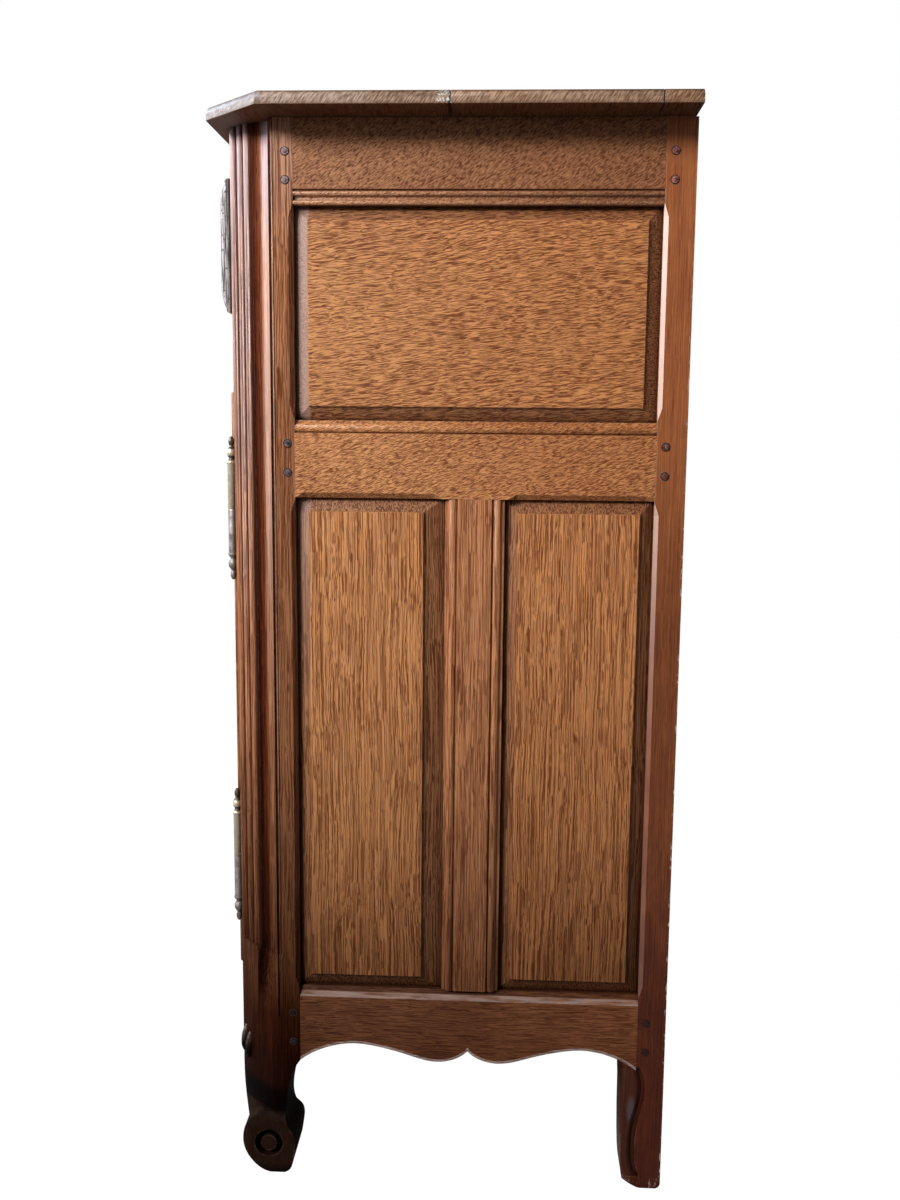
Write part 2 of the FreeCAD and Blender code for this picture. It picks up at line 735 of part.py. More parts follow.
def back_foot_steps():
    """Outline of the back foot and its wing, in depth from the back and height."""
    w = BACK_POST_DEPTH + WING_WIDTH
    h = WING_TOP_Z
    return [
        ("line", (0, 0.057 * h)),
        ("curve", (0.026 * w, 0.017 * h), (0.104 * w, 0)),
        ("line", (0.800 * w, 0)),
        ("curve", (0.835 * w, 0.068 * h), (0.866 * w, 0.205 * h), (0.887 * w, 0.480 * h),
         (0.910 * w, 0.810 * h), (w, h)),
        ("line", (0, h)),
    ]


def toe_dome():
    """Turned shape that rounds the back foot's lower corner off towards the side and the front."""
    w = BACK_POST_DEPTH + WING_WIDTH
    h = WING_TOP_Z
    axis = V(HALF - 0.828 * BACK_POST_WIDTH, depth(-0.087 * w), 0)
    place = lambda r, z: axis + V(r * w, 0, z * h)
    steps = [
        ("line", (0.975, 0)),
        ("curve", (1.033, 0.007), (1.087, 0.028), (1.144, 0.066), (1.193, 0.114), (1.240, 0.185), (1.270, 0.275),
         (1.290, 0.380)),
        ("line", (1.700, 0.380), (1.700, 1.020), (0, 1.020)),
    ]
    wire = outline((0, 0), steps, lambda point: place(*point))
    return Part.Face(wire).revolve(axis, V(0, 0, 1), 360)


def carved_line(shift):
    """S-shaped carved edge of the back foot, moved forward by shift."""
    w = BACK_POST_DEPTH + WING_WIDTH
    h = WING_TOP_Z
    line = [(0.535, 0.920), (0.405, 0.800), (0.410, 0.670), (0.520, 0.515), (0.580, 0.300), (0.545, 0.165),
            (0.461, 0.088)]
    return [(u * w + shift, v * h) for u, v in line]


def carved_wire(shift, edge, inward):
    """Outline between the carved edge and the front of the wing, edge in from it."""
    line = carved_line(shift)
    front = BACK_POST_DEPTH + WING_WIDTH + CARVING_SINK - edge
    steps = [("curve", *line[1:]), ("line", (front, line[-1][1]), (front, line[0][1]))]
    return outline(line[0], steps, side_view(inward))


def carved_pocket():
    """Groove along the carved edge, with a swelling leaf left standing in front of it."""
    sunk = extrude(carved_wire(0, 0, 0), V(-CARVING_SINK, 0, 0))
    leaf = loft(carved_wire(CARVING_GROOVE, CARVING_SINK, CARVING_SINK),
                carved_wire(CARVING_GROOVE + LEAF_SLOPE, CARVING_SINK + LEAF_SLOPE, LEAF_FACE))
    return sunk.cut(leaf)


def back_post():
    shaft = box(HALF, BACK_OPENING, depth(0), depth(BACK_POST_DEPTH), WING_TOP_Z, CARCASS_HEIGHT)
    foot = extrude(outline((0, WING_TOP_Z), back_foot_steps(), side_view(0)), V(-BACK_POST_WIDTH, 0, 0))
    foot = foot.common(toe_dome()).cut([carved_pocket(), apron_blank()])
    post = fuse(shaft, foot)
    cuts = side_grooves() + side_peg_holes() + back_peg_holes()
    for low, high in side_rail_bands():
        cuts += side_tenons(low, high)
    for low, high in back_rail_bands():
        cuts += back_tenons(low, high)
    for low, high in panel_bands():
        cuts.append(stopped_chamfer(BACK_JOINT, -1, low, high))
    cuts.append(back_groove(PANEL_GAP))
    return post.cut(cuts)


# Side frame

def side_top_rail():
    steps = double_bead_mould(TOP_RAIL_BOTTOM, 0)
    steps += [("line", (RAIL_THICKNESS, TOP_RAIL_BOTTOM), (RAIL_THICKNESS, CARCASS_HEIGHT))]
    wire = outline((0, CARCASS_HEIGHT), steps, rail_end(BACK_JOINT))
    rail = extrude(wire, V(0, depth(FRONT_JOINT) - depth(BACK_JOINT), 0))
    rail = fuse(rail, *side_tenons(TOP_RAIL_BOTTOM, CARCASS_HEIGHT))
    return rail.cut(side_grooves() + side_peg_holes())


def side_middle_rail():
    """Bead on the upper edge, chamfers on the lower edge that stop beside the muntin."""
    steps = bead_mould(MIDDLE_RAIL_TOP, 0, 1)
    steps += [("line", (RAIL_THICKNESS, MIDDLE_RAIL_TOP), (RAIL_THICKNESS, MIDDLE_RAIL_BOTTOM))]
    wire = outline((0, MIDDLE_RAIL_BOTTOM), steps, rail_end(BACK_JOINT))
    rail = extrude(wire, V(0, depth(FRONT_JOINT) - depth(BACK_JOINT), 0))
    rail = fuse(rail, *side_tenons(MIDDLE_RAIL_BOTTOM, MIDDLE_RAIL_TOP))
    cuts = side_grooves() + side_peg_holes() + [muntin_tenon(MIDDLE_RAIL_BOTTOM, 1)]
    margin = MOULD_WIDTH / 5
    for d0, d1 in ((BACK_JOINT, MUNTIN_BACK - margin), (MUNTIN_FRONT + margin, FRONT_JOINT)):
        cuts.append(lower_chamfer(d0, d1))
    return rail.cut(cuts)


def lower_chamfer(d0, d1):
    """Chamfer cutter on the middle rail's lower arris between two depths, with sloped stops."""
    size = POST_CHAMFER + 1
    inset = 1.6 * size
    low = MIDDLE_RAIL_BOTTOM

    def triangle(d, scale):
        return outline((0, low), [("line", (0, low + size * scale), (size * scale, low))], rail_end(d))

    small = 0.02
    return loft(triangle(d0, small), triangle(d0 + inset, 1), triangle(d1 - inset, 1), triangle(d1, small))


def muntin_tenon(z, way):
    """Tenon of the muntin into the rail whose edge is at height z."""
    x0 = HALF - TENON_FACE
    d0 = MUNTIN_BACK + MOULD_WIDTH
    d1 = MUNTIN_FRONT - MOULD_WIDTH
    return box(x0, x0 - TENON_THICKNESS, depth(d0), depth(d1), z, z + way * TENON_LENGTH)


def side_muntin():
    """Upright between the lower panels, with a quirked bead along both edges."""
    steps = bead_mould(MUNTIN_FRONT, 0, 1)
    steps += [("line", (RAIL_THICKNESS, MUNTIN_FRONT), (RAIL_THICKNESS, MUNTIN_MIDDLE))]
    wire = outline((0, MUNTIN_MIDDLE), steps, plan(APRON_TOP))
    half = extrude(wire, V(0, 0, MIDDLE_RAIL_BOTTOM - APRON_TOP))
    other = half.mirror(V(0, depth(MUNTIN_MIDDLE), 0), V(0, 1, 0))
    muntin = fuse(half, other, muntin_tenon(MIDDLE_RAIL_BOTTOM, 1), muntin_tenon(APRON_TOP, -1))
    return muntin.cut(side_grooves())


def apron_curve(half_span, cusp, drop, arch, end):
    """Half of an apron's lower edge as (distance from the cusp, height), cusp first."""
    lobe = cusp - drop
    return [
        (0.045 * half_span, cusp - 0.5 * drop),
        (0.185 * half_span, lobe),
        (0.37 * half_span, lobe + 0.42 * (drop + arch)),
        (0.53 * half_span, cusp + 0.4 * arch),
        (0.68 * half_span, cusp + arch),
        (0.82 * half_span, cusp + 0.2 * arch),
        (0.92 * half_span, cusp - 0.4 * end),
        (half_span, cusp - end),
    ]


def apron_blank():
    """Side apron between its shoulders, with a lower edge of two lobes meeting in a cusp."""
    middle = (FRONT_JOINT + BACK_JOINT) / 2
    half_span = (FRONT_JOINT - BACK_JOINT) / 2
    half = apron_curve(half_span, APRON_CUSP, APRON_DROP, APRON_ARCH, APRON_END)
    forward = [(middle + u, z) for u, z in half]
    backward = [(middle - u, z) for u, z in reversed(half)]
    steps = [
        ("line", backward[0]),
        ("curve", *backward[1:], (middle, APRON_CUSP)),
        ("curve", *forward),
        ("line", (FRONT_JOINT, APRON_TOP)),
    ]
    wire = outline((BACK_JOINT, APRON_TOP), steps, side_view(0))
    return extrude(wire, V(-RAIL_THICKNESS, 0, 0))


def side_apron():
    """Bottom rail of a side, its top arris chamfered below the panels."""
    size = APRON_CHAMFER
    arris = [("line", (0, APRON_TOP - size), (size / 2, APRON_TOP))]
    chamfer = extrude(outline((0, APRON_TOP), arris, rail_end(BACK_JOINT)),
                      V(0, depth(FRONT_JOINT) - depth(BACK_JOINT), 0))
    rail = fuse(apron_blank(), *side_tenons(APRON_CUSP, APRON_TOP))
    return rail.cut([chamfer, muntin_tenon(APRON_TOP, -1)] + side_grooves() + side_peg_holes())


# Front frame

def front_rail(low, high):
    back = FRONT_Y + RAIL_THICKNESS
    rail = box(-FRONT_OPENING, FRONT_OPENING, FRONT_Y, back, low, high)
    return joined_front_rail(rail, low, high)


def joined_front_rail(rail, low, high):
    tenons = front_tenons(low, high)
    rail = fuse(rail, *tenons, *[mirrored(tenon) for tenon in tenons])
    holes = front_peg_holes()
    return rail.cut(holes + [mirrored(hole) for hole in holes])


def front_apron():
    half = apron_curve(FRONT_OPENING, FRONT_APRON_CUSP, FRONT_APRON_DROP, FRONT_APRON_ARCH, FRONT_APRON_END)
    left = [(-u, z) for u, z in reversed(half)]
    steps = [
        ("line", left[0]),
        ("curve", *left[1:], (0, FRONT_APRON_CUSP)),
        ("curve", *half),
        ("line", (FRONT_OPENING, DOOR_SILL)),
    ]
    wire = outline((-FRONT_OPENING, DOOR_SILL), steps, front_view(0))
    return joined_front_rail(extrude(wire, V(0, RAIL_THICKNESS, 0)), *front_apron_band())


# Back frame

def back_groove(gap=0.0):
    """Back boards as one plate, with gap added round it for the groove in the frame."""
    grow = GROOVE_DEPTH - PANEL_GAP + gap
    y0 = BACK_Y - BACK_BOARD_FACE
    return box(-BACK_OPENING - grow, BACK_OPENING + grow, y0, y0 - BACK_BOARD_THICKNESS,
               BACK_BOTTOM_RAIL_TOP - grow, BACK_TOP_RAIL_BOTTOM + grow)


def back_boards():
    plate = back_groove()
    limits = plate.BoundBox
    width = limits.XLength / BACK_BOARD_COUNT
    boards = []
    for n in range(BACK_BOARD_COUNT):
        x0 = limits.XMin + n * width
        boards.append(box(x0, x0 + width, limits.YMin, limits.YMax, limits.ZMin, limits.ZMax))
    return boards


def back_rail(low, high):
    rail = box(-BACK_OPENING, BACK_OPENING, BACK_Y, BACK_Y - BACK_RAIL_THICKNESS, low, high)
    tenons = back_tenons(low, high)
    rail = fuse(rail, *tenons, *[mirrored(tenon) for tenon in tenons])
    holes = back_peg_holes()
    return rail.cut(holes + [mirrored(hole) for hole in holes] + [back_groove(PANEL_GAP)])


# Top

def top_outline(z):
    half = HALF + TOP_SIDE_OVERHANG
    front = CARCASS_DEPTH + TOP_FRONT_OVERHANG
    corners = [
        (half, TOP_BACK_SETBACK),
        (half, front - TOP_CANT),
        (half - TOP_CANT, front),
        (TOP_CANT - half, front),
        (-half, front - TOP_CANT),
        (-half, TOP_BACK_SETBACK),
    ]
    return outline(corners[0], [("line", *corners[1:])], lambda p: V(p[0], depth(p[1]), z))


def top_slab():
    """Whole top with its upper side and front edges rounded over."""
    slab = extrude(top_outline(CARCASS_HEIGHT), V(0, 0, TOP_THICKNESS))
    edges = []
    for edge in slab.Edges:
        middle = edge.CenterOfMass
        flat = edge.BoundBox.ZLength < 1e-3 and middle.z > CARCASS_HEIGHT + TOP_THICKNESS / 2
        if flat and middle.y < depth(TOP_BACK_SETBACK) - 1e-3:
            edges.append(edge)
    return slab.makeFillet(TOP_EDGE_ROUND, edges)


def top_boards():
    slab = top_slab()
    reach = HALF + TOP_SIDE_OVERHANG + 1
    joints = [TOP_BACK_SETBACK, TOP_BACK_SETBACK + BACK_BOARD_DEPTH]
    joints.append(joints[1] + MIDDLE_BOARD_DEPTH)
    joints.append(CARCASS_DEPTH + TOP_FRONT_OVERHANG)
    boards = []
    for d0, d1 in zip(joints, joints[1:]):
        band = box(-reach, reach, depth(d0), depth(d1), CARCASS_HEIGHT, CARCASS_HEIGHT + TOP_THICKNESS)
        boards.append(slab.common(band))
    return boards


# Inside

def shelf(z):
    x1 = SIDE_INNER - SHELF_PLAY
    return box(-x1, x1, depth(BACK_JOINT), depth(FRONT_JOINT), z, z + SHELF_THICKNESS)


def bottom_boards():
    """Floor of the cupboard: boards between the posts and one more up to the front apron."""
    whole = shelf(BOTTOM_Z).BoundBox
    width = whole.YLength / BOTTOM_BOARD_COUNT
    boards = []
    for n in range(BOTTOM_BOARD_COUNT):
        y0 = whole.YMin + n * width
        boards.append(box(whole.XMin, whole.XMax, y0, y0 + width, whole.ZMin, whole.ZMax))
    sill = box(-FRONT_OPENING, FRONT_OPENING, whole.YMin, FRONT_Y + RAIL_THICKNESS, whole.ZMin, whole.ZMax)
    return boards + [sill]


def shelf_cleats():
    cleats = []
    for z in (BOTTOM_Z, LOWER_SHELF_Z, UPPER_SHELF_Z):
        cleat = box(SIDE_INNER, SIDE_INNER - CLEAT_WIDTH, depth(BACK_JOINT), depth(FRONT_JOINT),
                    z - CLEAT_HEIGHT, z)
        cleats += [cleat, mirrored(cleat)]
    return cleats


# Drawer

def drawer_runner():
    """Bearer under the drawer side, with a guide beside it; it meets both posts and the front rail."""
    top = DRAWER_SILL
    x0 = DRAWER_HALF - RUNNER_WIDTH
    bearer = box(x0, FRONT_OPENING, depth(BACK_JOINT), depth(CARCASS_DEPTH - RAIL_THICKNESS),
                 top - RUNNER_HEIGHT, top)
    web = box(FRONT_OPENING, SIDE_INNER, depth(BACK_JOINT), depth(FRONT_JOINT), top - RUNNER_HEIGHT, top)
    guide = box(FRONT_OPENING, SIDE_INNER, depth(BACK_JOINT), depth(FRONT_JOINT), top, top + GUIDE_HEIGHT)
    return fuse(bearer, web, guide)


def drawer_kicker():
    """Strip above the drawer side that keeps the open drawer from tipping."""
    low = FRONT_TOP_RAIL_BOTTOM
    x0 = DRAWER_HALF - RUNNER_WIDTH
    front = depth(CARCASS_DEPTH - RAIL_THICKNESS)
    return box(x0, DRAWER_HALF, depth(BACK_RAIL_THICKNESS), front, low, low + KICKER_HEIGHT)


def drawer_profile_steps(low, high):
    """Small round corners at top and bottom, then long rounds that run smoothly into the flat face."""
    edge = -DRAWER_EDGE_PROUD
    face = -DRAWER_PROUD
    corner = DRAWER_CORNER_ROUND
    swell = DRAWER_PROUD - DRAWER_EDGE_PROUD
    rise = DRAWER_ROUND - corner
    radius = (swell ** 2 + rise ** 2) / (2 * swell)
    half_angle = math.asin(rise / radius) / 2
    middle = face + radius * (1 - math.cos(half_angle))
    middle_rise = DRAWER_ROUND - radius * math.sin(half_angle)
    slack = corner * (1 - math.sqrt(0.5))
    return [
        ("line", (edge + corner, low)),
        ("arc", (edge + slack, low + slack), (edge, low + corner)),
        ("arc", (middle, low + middle_rise), (face, low + DRAWER_ROUND)),
        ("line", (face, high - DRAWER_ROUND)),
        ("arc", (middle, high - middle_rise), (edge, high - corner)),
        ("arc", (edge + slack, high - slack), (edge + corner, high)),
        ("line", (-DRAWER_SEAT, high)),
    ]


def tail_places():
    """Middle heights of the dovetails at the drawer's front corners."""
    step = DRAWER_HEIGHT / TAIL_COUNT
    return [DRAWER_FLOOR + step * (n + 0.5) for n in range(TAIL_COUNT)]


def drawer_tails():
    """Dovetails of the right drawer side into the back of the drawer front."""
    y0 = FRONT_Y + DRAWER_INSET
    tails = []
    for z in tail_places():
        corners = [(y0, z + TAIL_NECK / 2), (y0 - TAIL_LENGTH, z + TAIL_WIDTH / 2),
                   (y0 - TAIL_LENGTH, z - TAIL_WIDTH / 2)]
        wire = outline((y0, z - TAIL_NECK / 2), [("line", *corners)], lambda p: V(DRAWER_HALF, p[0], p[1]))
        tails.append(extrude(wire, V(-DRAWER_SIDE, 0, 0)))
    return tails


def drawer_bottom_plate():
    z0 = DRAWER_FLOOR + DRAWER_BOTTOM_LIFT
    x1 = DRAWER_HALF - DRAWER_SIDE + DRAWER_GROOVE
    y0 = FRONT_Y + DRAWER_INSET
    return box(-x1, x1, y0 - DRAWER_GROOVE, y0 + DRAWER_LENGTH, z0, z0 + DRAWER_BOTTOM)


def drawer_front():
    low = DRAWER_SILL - DRAWER_LIP_BELOW
    high = FRONT_TOP_RAIL_BOTTOM + DRAWER_LIP_ABOVE
    half = FRONT_OPENING + DRAWER_LIP
    wire = outline((-DRAWER_SEAT, low), drawer_profile_steps(low, high),
                   lambda p: V(-half, FRONT_Y + p[0], p[1]))
    face = extrude(wire, V(2 * half, 0, 0))
    ends = [edge for edge in face.Edges
            if edge.BoundBox.XLength < 1e-3 and edge.CenterOfMass.y < FRONT_Y - DRAWER_EDGE_PROUD]
    face = face.makeFillet(DRAWER_END_ROUND, ends)
    plug = box(-DRAWER_HALF, DRAWER_HALF, FRONT_Y - DRAWER_SEAT, FRONT_Y + DRAWER_INSET,
               DRAWER_FLOOR, FRONT_TOP_RAIL_BOTTOM - DRAWER_PLAY)
    tails = drawer_tails()
    return fuse(face, plug).cut(tails + [mirrored(tail) for tail in tails] + [drawer_bottom_plate()])


def drawer_side():
    y0 = FRONT_Y + DRAWER_INSET
    side = box(DRAWER_HALF, DRAWER_HALF - DRAWER_SIDE, y0, y0 + DRAWER_LENGTH,
               DRAWER_FLOOR, DRAWER_FLOOR + DRAWER_HEIGHT)
    return fuse(side, *drawer_tails()).cut(drawer_bottom_plate())


def drawer_back():
    x1 = DRAWER_HALF - DRAWER_SIDE
    y1 = FRONT_Y + DRAWER_INSET + DRAWER_LENGTH
    z0 = DRAWER_FLOOR + DRAWER_BOTTOM_LIFT + DRAWER_BOTTOM
    return box(-x1, x1, y1 - DRAWER_BACK, y1, z0, DRAWER_FLOOR + DRAWER_HEIGHT - DRAWER_SEAT)


# Drawer pulls

def pull_place(way):
    return way * PULL_OFFSET, FRONT_Y - DRAWER_PROUD, DRAWER_MIDDLE_Z


def pull_plate(way):
    """Shaped back plate with two round posts bored for the bail."""
    x, y, z = pull_place(way)
    half = PULL_PLATE_LENGTH / 2
    tall = PULL_PLATE_HEIGHT / 2
    waist = tall * 0.55
    steps = [
        ("curve", (0.72 * half, -waist), (0.35 * half, -tall * 0.85), (0, -tall)),
        ("curve", (-0.35 * half, -tall * 0.85), (-0.72 * half, -waist), (-half, 0)),
        ("curve", (-0.72 * half, waist), (-0.35 * half, tall * 0.85), (0, tall)),
        ("curve", (0.35 * half, tall * 0.85), (0.72 * half, waist), (half, 0)),
    ]
    wire = outline((half, 0), steps, lambda p: V(x + p[0], y, z + p[1]))
    plate = extrude(wire, V(0, -PULL_PLATE_THICKNESS, 0))
    posts = []
    bores = []
    for side in (-1, 1):
        foot = V(x + side * PULL_POST_SPREAD, y, z)
        height = PULL_PLATE_THICKNESS + PULL_POST_LENGTH
        posts.append(Part.makeCylinder(PULL_POST_RADIUS, height, foot, FORWARD))
        start = V(foot.x - 2 * PULL_POST_RADIUS, bail_axis_y(), z)
        bores.append(Part.makeCylinder(BAIL_PIN_RADIUS + BAIL_PLAY, 4 * PULL_POST_RADIUS, start, V(1, 0, 0)))
    return fuse(plate, *posts).cut(bores)


def bail_axis_y():
    return FRONT_Y - DRAWER_PROUD - PULL_PLATE_THICKNESS - BAIL_OFF_PLATE


def bail(way):
    """Drop bail: two arms, rounded corners and a cross bar, with pins turned into the posts."""
    x, _, z = pull_place(way)
    y = bail_axis_y()
    arm = PULL_POST_SPREAD + PULL_POST_RADIUS + BAIL_RADIUS + BAIL_GAP
    low = z - BAIL_DROP
    bend = BAIL_BEND
    mid = bend * (1 - math.sqrt(0.5))
    path = Part.Wire([
        Part.makeLine(V(x - arm, y, z), V(x - arm, y, low + bend)),
        Part.Arc(V(x - arm, y, low + bend), V(x - arm + mid, y, low + mid),
                 V(x - arm + bend, y, low)).toShape(),
        Part.makeLine(V(x - arm + bend, y, low), V(x + arm - bend, y, low)),
        Part.Arc(V(x + arm - bend, y, low), V(x + arm - mid, y, low + mid),
                 V(x + arm, y, low + bend)).toShape(),
        Part.makeLine(V(x + arm, y, low + bend), V(x + arm, y, z)),
    ])
    ring = Part.Wire([Part.makeCircle(BAIL_RADIUS, V(x - arm, y, z), V(0, 0, 1))])
    bow = path.makePipeShell([ring], True, False)
    pieces = []
    for side in (-1, 1):
        pieces.append(Part.makeSphere(BAIL_RADIUS, V(x + side * arm, y, z)))
        pin_length = BAIL_RADIUS + BAIL_GAP + 2 * PULL_POST_RADIUS
        pieces.append(Part.makeCylinder(BAIL_PIN_RADIUS, pin_length, V(x + side * arm, y, z), V(-side, 0, 0)))
    return fuse(bow, *pieces)


# Door

def door_blank():
    """The whole door leaf as one block: an overlapping lip in front of an inset body."""
    lip_right = HINGE_X - FINIAL_RADIUS - FINIAL_GAP
    lip = box(-(FRONT_OPENING + DOOR_LIP), lip_right, DOOR_FRONT_Y, FRONT_Y - DOOR_BEARING_GAP,
              DOOR_BOTTOM, DOOR_TOP)
    front_edges = [edge for edge in lip.Edges
                   if abs(edge.CenterOfMass.y - DOOR_FRONT_Y) < 1e-6 and edge.BoundBox.YLength < 1e-6]
    lip = lip.makeFillet(DOOR_EDGE_ROUND, front_edges)
    x1 = FRONT_OPENING - DOOR_PLAY
    inset = box(-x1, x1, FRONT_Y - DOOR_BEARING_GAP, DOOR_BACK_Y,
                DOOR_SILL + DOOR_PLAY, DOOR_HEAD - DOOR_PLAY)
    return lip.fuse(inset)


def door_opening():
    """Edges of the door's panel opening: half width, sill and spring of the arch."""
    half = FRONT_OPENING + DOOR_LIP - STILE_WIDTH
    return half, DOOR_BOTTOM + DOOR_BOTTOM_RAIL_HEIGHT, DOOR_TOP - DOOR_TOP_RAIL_HEIGHT - DOOR_ARCH_RISE


def arched_steps(half, spring, rise):
    """Arched upper edge with a reversed curve at each shoulder, from right to left."""
    right = [(0.82 * half, spring + 0.1 * rise), (0.55 * half, spring + 0.62 * rise),
             (0.27 * half, spring + 0.93 * rise), (0, spring + rise)]
    left = [(-x, z) for x, z in reversed(right[:-1])]
    return [("curve", *right, *left, (-half, spring))]


def door_panel_wire(margin, behind):
    half, sill, spring = door_opening()
    half -= margin
    sill += margin
    spring -= margin
    steps = [("line", (half, sill), (half, spring))] + arched_steps(half, spring, DOOR_ARCH_RISE)
    return outline((-half, sill), steps, front_view(behind - DOOR_PROUD))


def door_tongue(gap=0.0):
    wire = door_panel_wire(-(GROOVE_DEPTH - PANEL_GAP + gap), TONGUE_FACE)
    return extrude(wire, V(0, TONGUE_THICKNESS, 0))


def door_panel():
    bevel_top = PANEL_FACE + PANEL_SHOULDER
    slope = loft(door_panel_wire(0, TONGUE_FACE), door_panel_wire(2 * BEVEL_WIDTH, bevel_top))
    field = extrude(door_panel_wire(2 * BEVEL_WIDTH, PANEL_FACE), V(0, TONGUE_FACE - PANEL_FACE, 0))
    return fuse(door_tongue(), slope, field)


def door_tenons(low, high):
    """Right-hand tenon of a door rail; the left one mirrors it."""
    half, _, _ = door_opening()
    y0 = DOOR_FRONT_Y + DOOR_TENON_FACE
    z0 = low + TENON_SHOULDER
    z1 = high - TENON_SHOULDER
    return box(half, half + DOOR_TENON_LENGTH, y0, y0 + TENON_THICKNESS, z0, z1)


def door_rail_bands():
    _, sill, spring = door_opening()
    lip_top = DOOR_HEAD - DOOR_PLAY
    return (spring + DOOR_ARCH_RISE, lip_top), (DOOR_SILL + DOOR_PLAY, sill)


def door_joint_cuts():
    cuts = []
    for band in door_rail_bands():
        tenon = door_tenons(*band)
        cuts += [tenon, mirrored(tenon)]
    return cuts


def door_peg_places():
    half, _, _ = door_opening()
    places = []
    for low, high in door_rail_bands():
        middle = (low + high) / 2
        for x in (-(half + DOOR_PEG_IN), half + DOOR_PEG_IN):
            for z in (middle - DOOR_PEG_SPREAD, middle + DOOR_PEG_SPREAD):
                places.append((x, DOOR_FRONT_Y, z))
    return places


def door_frame():
    """Stiles and rails cut out of the blank, with tenons, grooves and a chamfered panel opening."""
    half, sill, spring = door_opening()
    blank = door_blank()
    far = 2 * HALF
    opening = extrude(door_panel_wire(0, -1), V(0, DOOR_PROUD + DOOR_INSET + 2, 0))
    chamfer = loft(door_panel_wire(-DOOR_CHAMFER, -0.01), door_panel_wire(0, DOOR_CHAMFER))
    frame = blank.cut([opening, chamfer, door_tongue(PANEL_GAP)])
    frame = frame.cut([peg_hole(*place, REARWARD) for place in door_peg_places()])
    y0, y1 = DOOR_FRONT_Y - 1, DOOR_BACK_Y + 1
    tenons = door_joint_cuts()
    hinge_stile = frame.common(box(half, far, y0, y1, 0, far * 2)).cut(tenons)
    lock_stile = frame.common(box(-far, -half, y0, y1, 0, far * 2)).cut(tenons)
    middle = (sill + spring) / 2
    top_rail = frame.common(box(-half, half, y0, y1, middle, far * 2))
    bottom_rail = frame.common(box(-half, half, y0, y1, 0, middle))
    holes = [peg_hole(*place, REARWARD) for place in door_peg_places()]
    top_rail = fuse(top_rail, *tenons[:2]).cut(holes)
    bottom_rail = fuse(bottom_rail, *tenons[2:]).cut(holes)
    return hinge_stile, lock_stile, top_rail, bottom_rail


# Hinges

def finial_steps():
    r = FINIAL_RADIUS
    end = FINIAL_LENGTH
    return [
        ("line", (r, 0), (r, 0.07 * end), (0.6 * r, 0.16 * end), (0.55 * r, 0.22 * end)),
        ("arc", (0.98 * r, 0.42 * end), (0.48 * r, 0.61 * end)),
        ("line", (0.4 * r, 0.67 * end)),
        ("arc", (0.6 * r, 0.84 * end), (0.2 * r, end)),
        ("line", (0, end)),
    ]


def finial(z, way):
    """Turned finial at the end of a hinge barrel."""
    wire = outline((0, 0), finial_steps(), lambda p: V(HINGE_X + p[0], HINGE_Y, z + way * p[1]))
    body = Part.Face(wire).revolve(V(HINGE_X, HINGE_Y, 0), V(0, 0, 1), 360)
    return body if body.Volume > 0 else body.reversed()


def knuckle(z0, z1, radius=KNUCKLE_RADIUS):
    return Part.makeCylinder(radius, z1 - z0, V(HINGE_X, HINGE_Y, z0))


def frame_leaf_plate(z):
    t = HINGE_LEAF_THICKNESS / 2
    return box(HINGE_X - t, HINGE_X + t, HINGE_Y, HINGE_Y + HINGE_LEAF_REACH,
               z - KNUCKLE_LENGTH + HINGE_LEAF_MARGIN, z - HINGE_LEAF_MARGIN)


def door_leaf_plate(z):
    t = HINGE_LEAF_THICKNESS / 2
    return box(HINGE_X - HINGE_LEAF_REACH, HINGE_X, HINGE_Y - t, HINGE_Y + t,
               z + HINGE_LEAF_MARGIN, z + KNUCKLE_LENGTH - HINGE_LEAF_MARGIN)


def hinge_frame_leaf(z):
    """Lower half: barrel, pin, finial and the plate let into the post."""
    top = z - KNUCKLE_GAP / 2
    barrel = knuckle(z - KNUCKLE_LENGTH, top)
    pin = knuckle(top - 1, z + HINGE_PIN_LENGTH, HINGE_PIN_RADIUS)
    return fuse(barrel, pin, frame_leaf_plate(z), finial(z - KNUCKLE_LENGTH, -1))


def hinge_door_leaf(z):
    """Upper half: bored barrel, finial and the plate let into the door stile."""
    low = z + KNUCKLE_GAP / 2
    barrel = knuckle(low, z + KNUCKLE_LENGTH)
    leaf = fuse(barrel, door_leaf_plate(z), finial(z + KNUCKLE_LENGTH, 1))
    bore = knuckle(low - 1, z + HINGE_PIN_LENGTH + 2, HINGE_PIN_RADIUS + HINGE_PIN_PLAY)
    return leaf.cut(bore)


# Lock

def keyhole(y0, y1):
    """Round hole with a slot below it for the key's bit."""
    r = KEY_RADIUS + KEY_PLAY
    slot = KEY_BIT_THICKNESS / 2 + KEY_PLAY
    hole = Part.makeCylinder(r, y1 - y0, V(KEY_X, y0, LOCK_Z), REARWARD)
    return hole.fuse(box(KEY_X - slot, KEY_X + slot, y0, y1, LOCK_Z - KEY_BIT_LENGTH - KEY_PLAY, LOCK_Z))


def bolt_band():
    """Bolt's place: front and back Y, low and high Z."""
    y0 = DOOR_BACK_Y + (LOCK_CASE_DEPTH - LOCK_CASE_WALL - BOLT_THICKNESS) / 2
    z0 = LOCK_Z + BOLT_ABOVE_KEY
    return y0, y0 + BOLT_THICKNESS, z0, z0 + BOLT_HEIGHT


def lock_case_left():
    return -(FRONT_OPENING - DOOR_PLAY) + 1.0


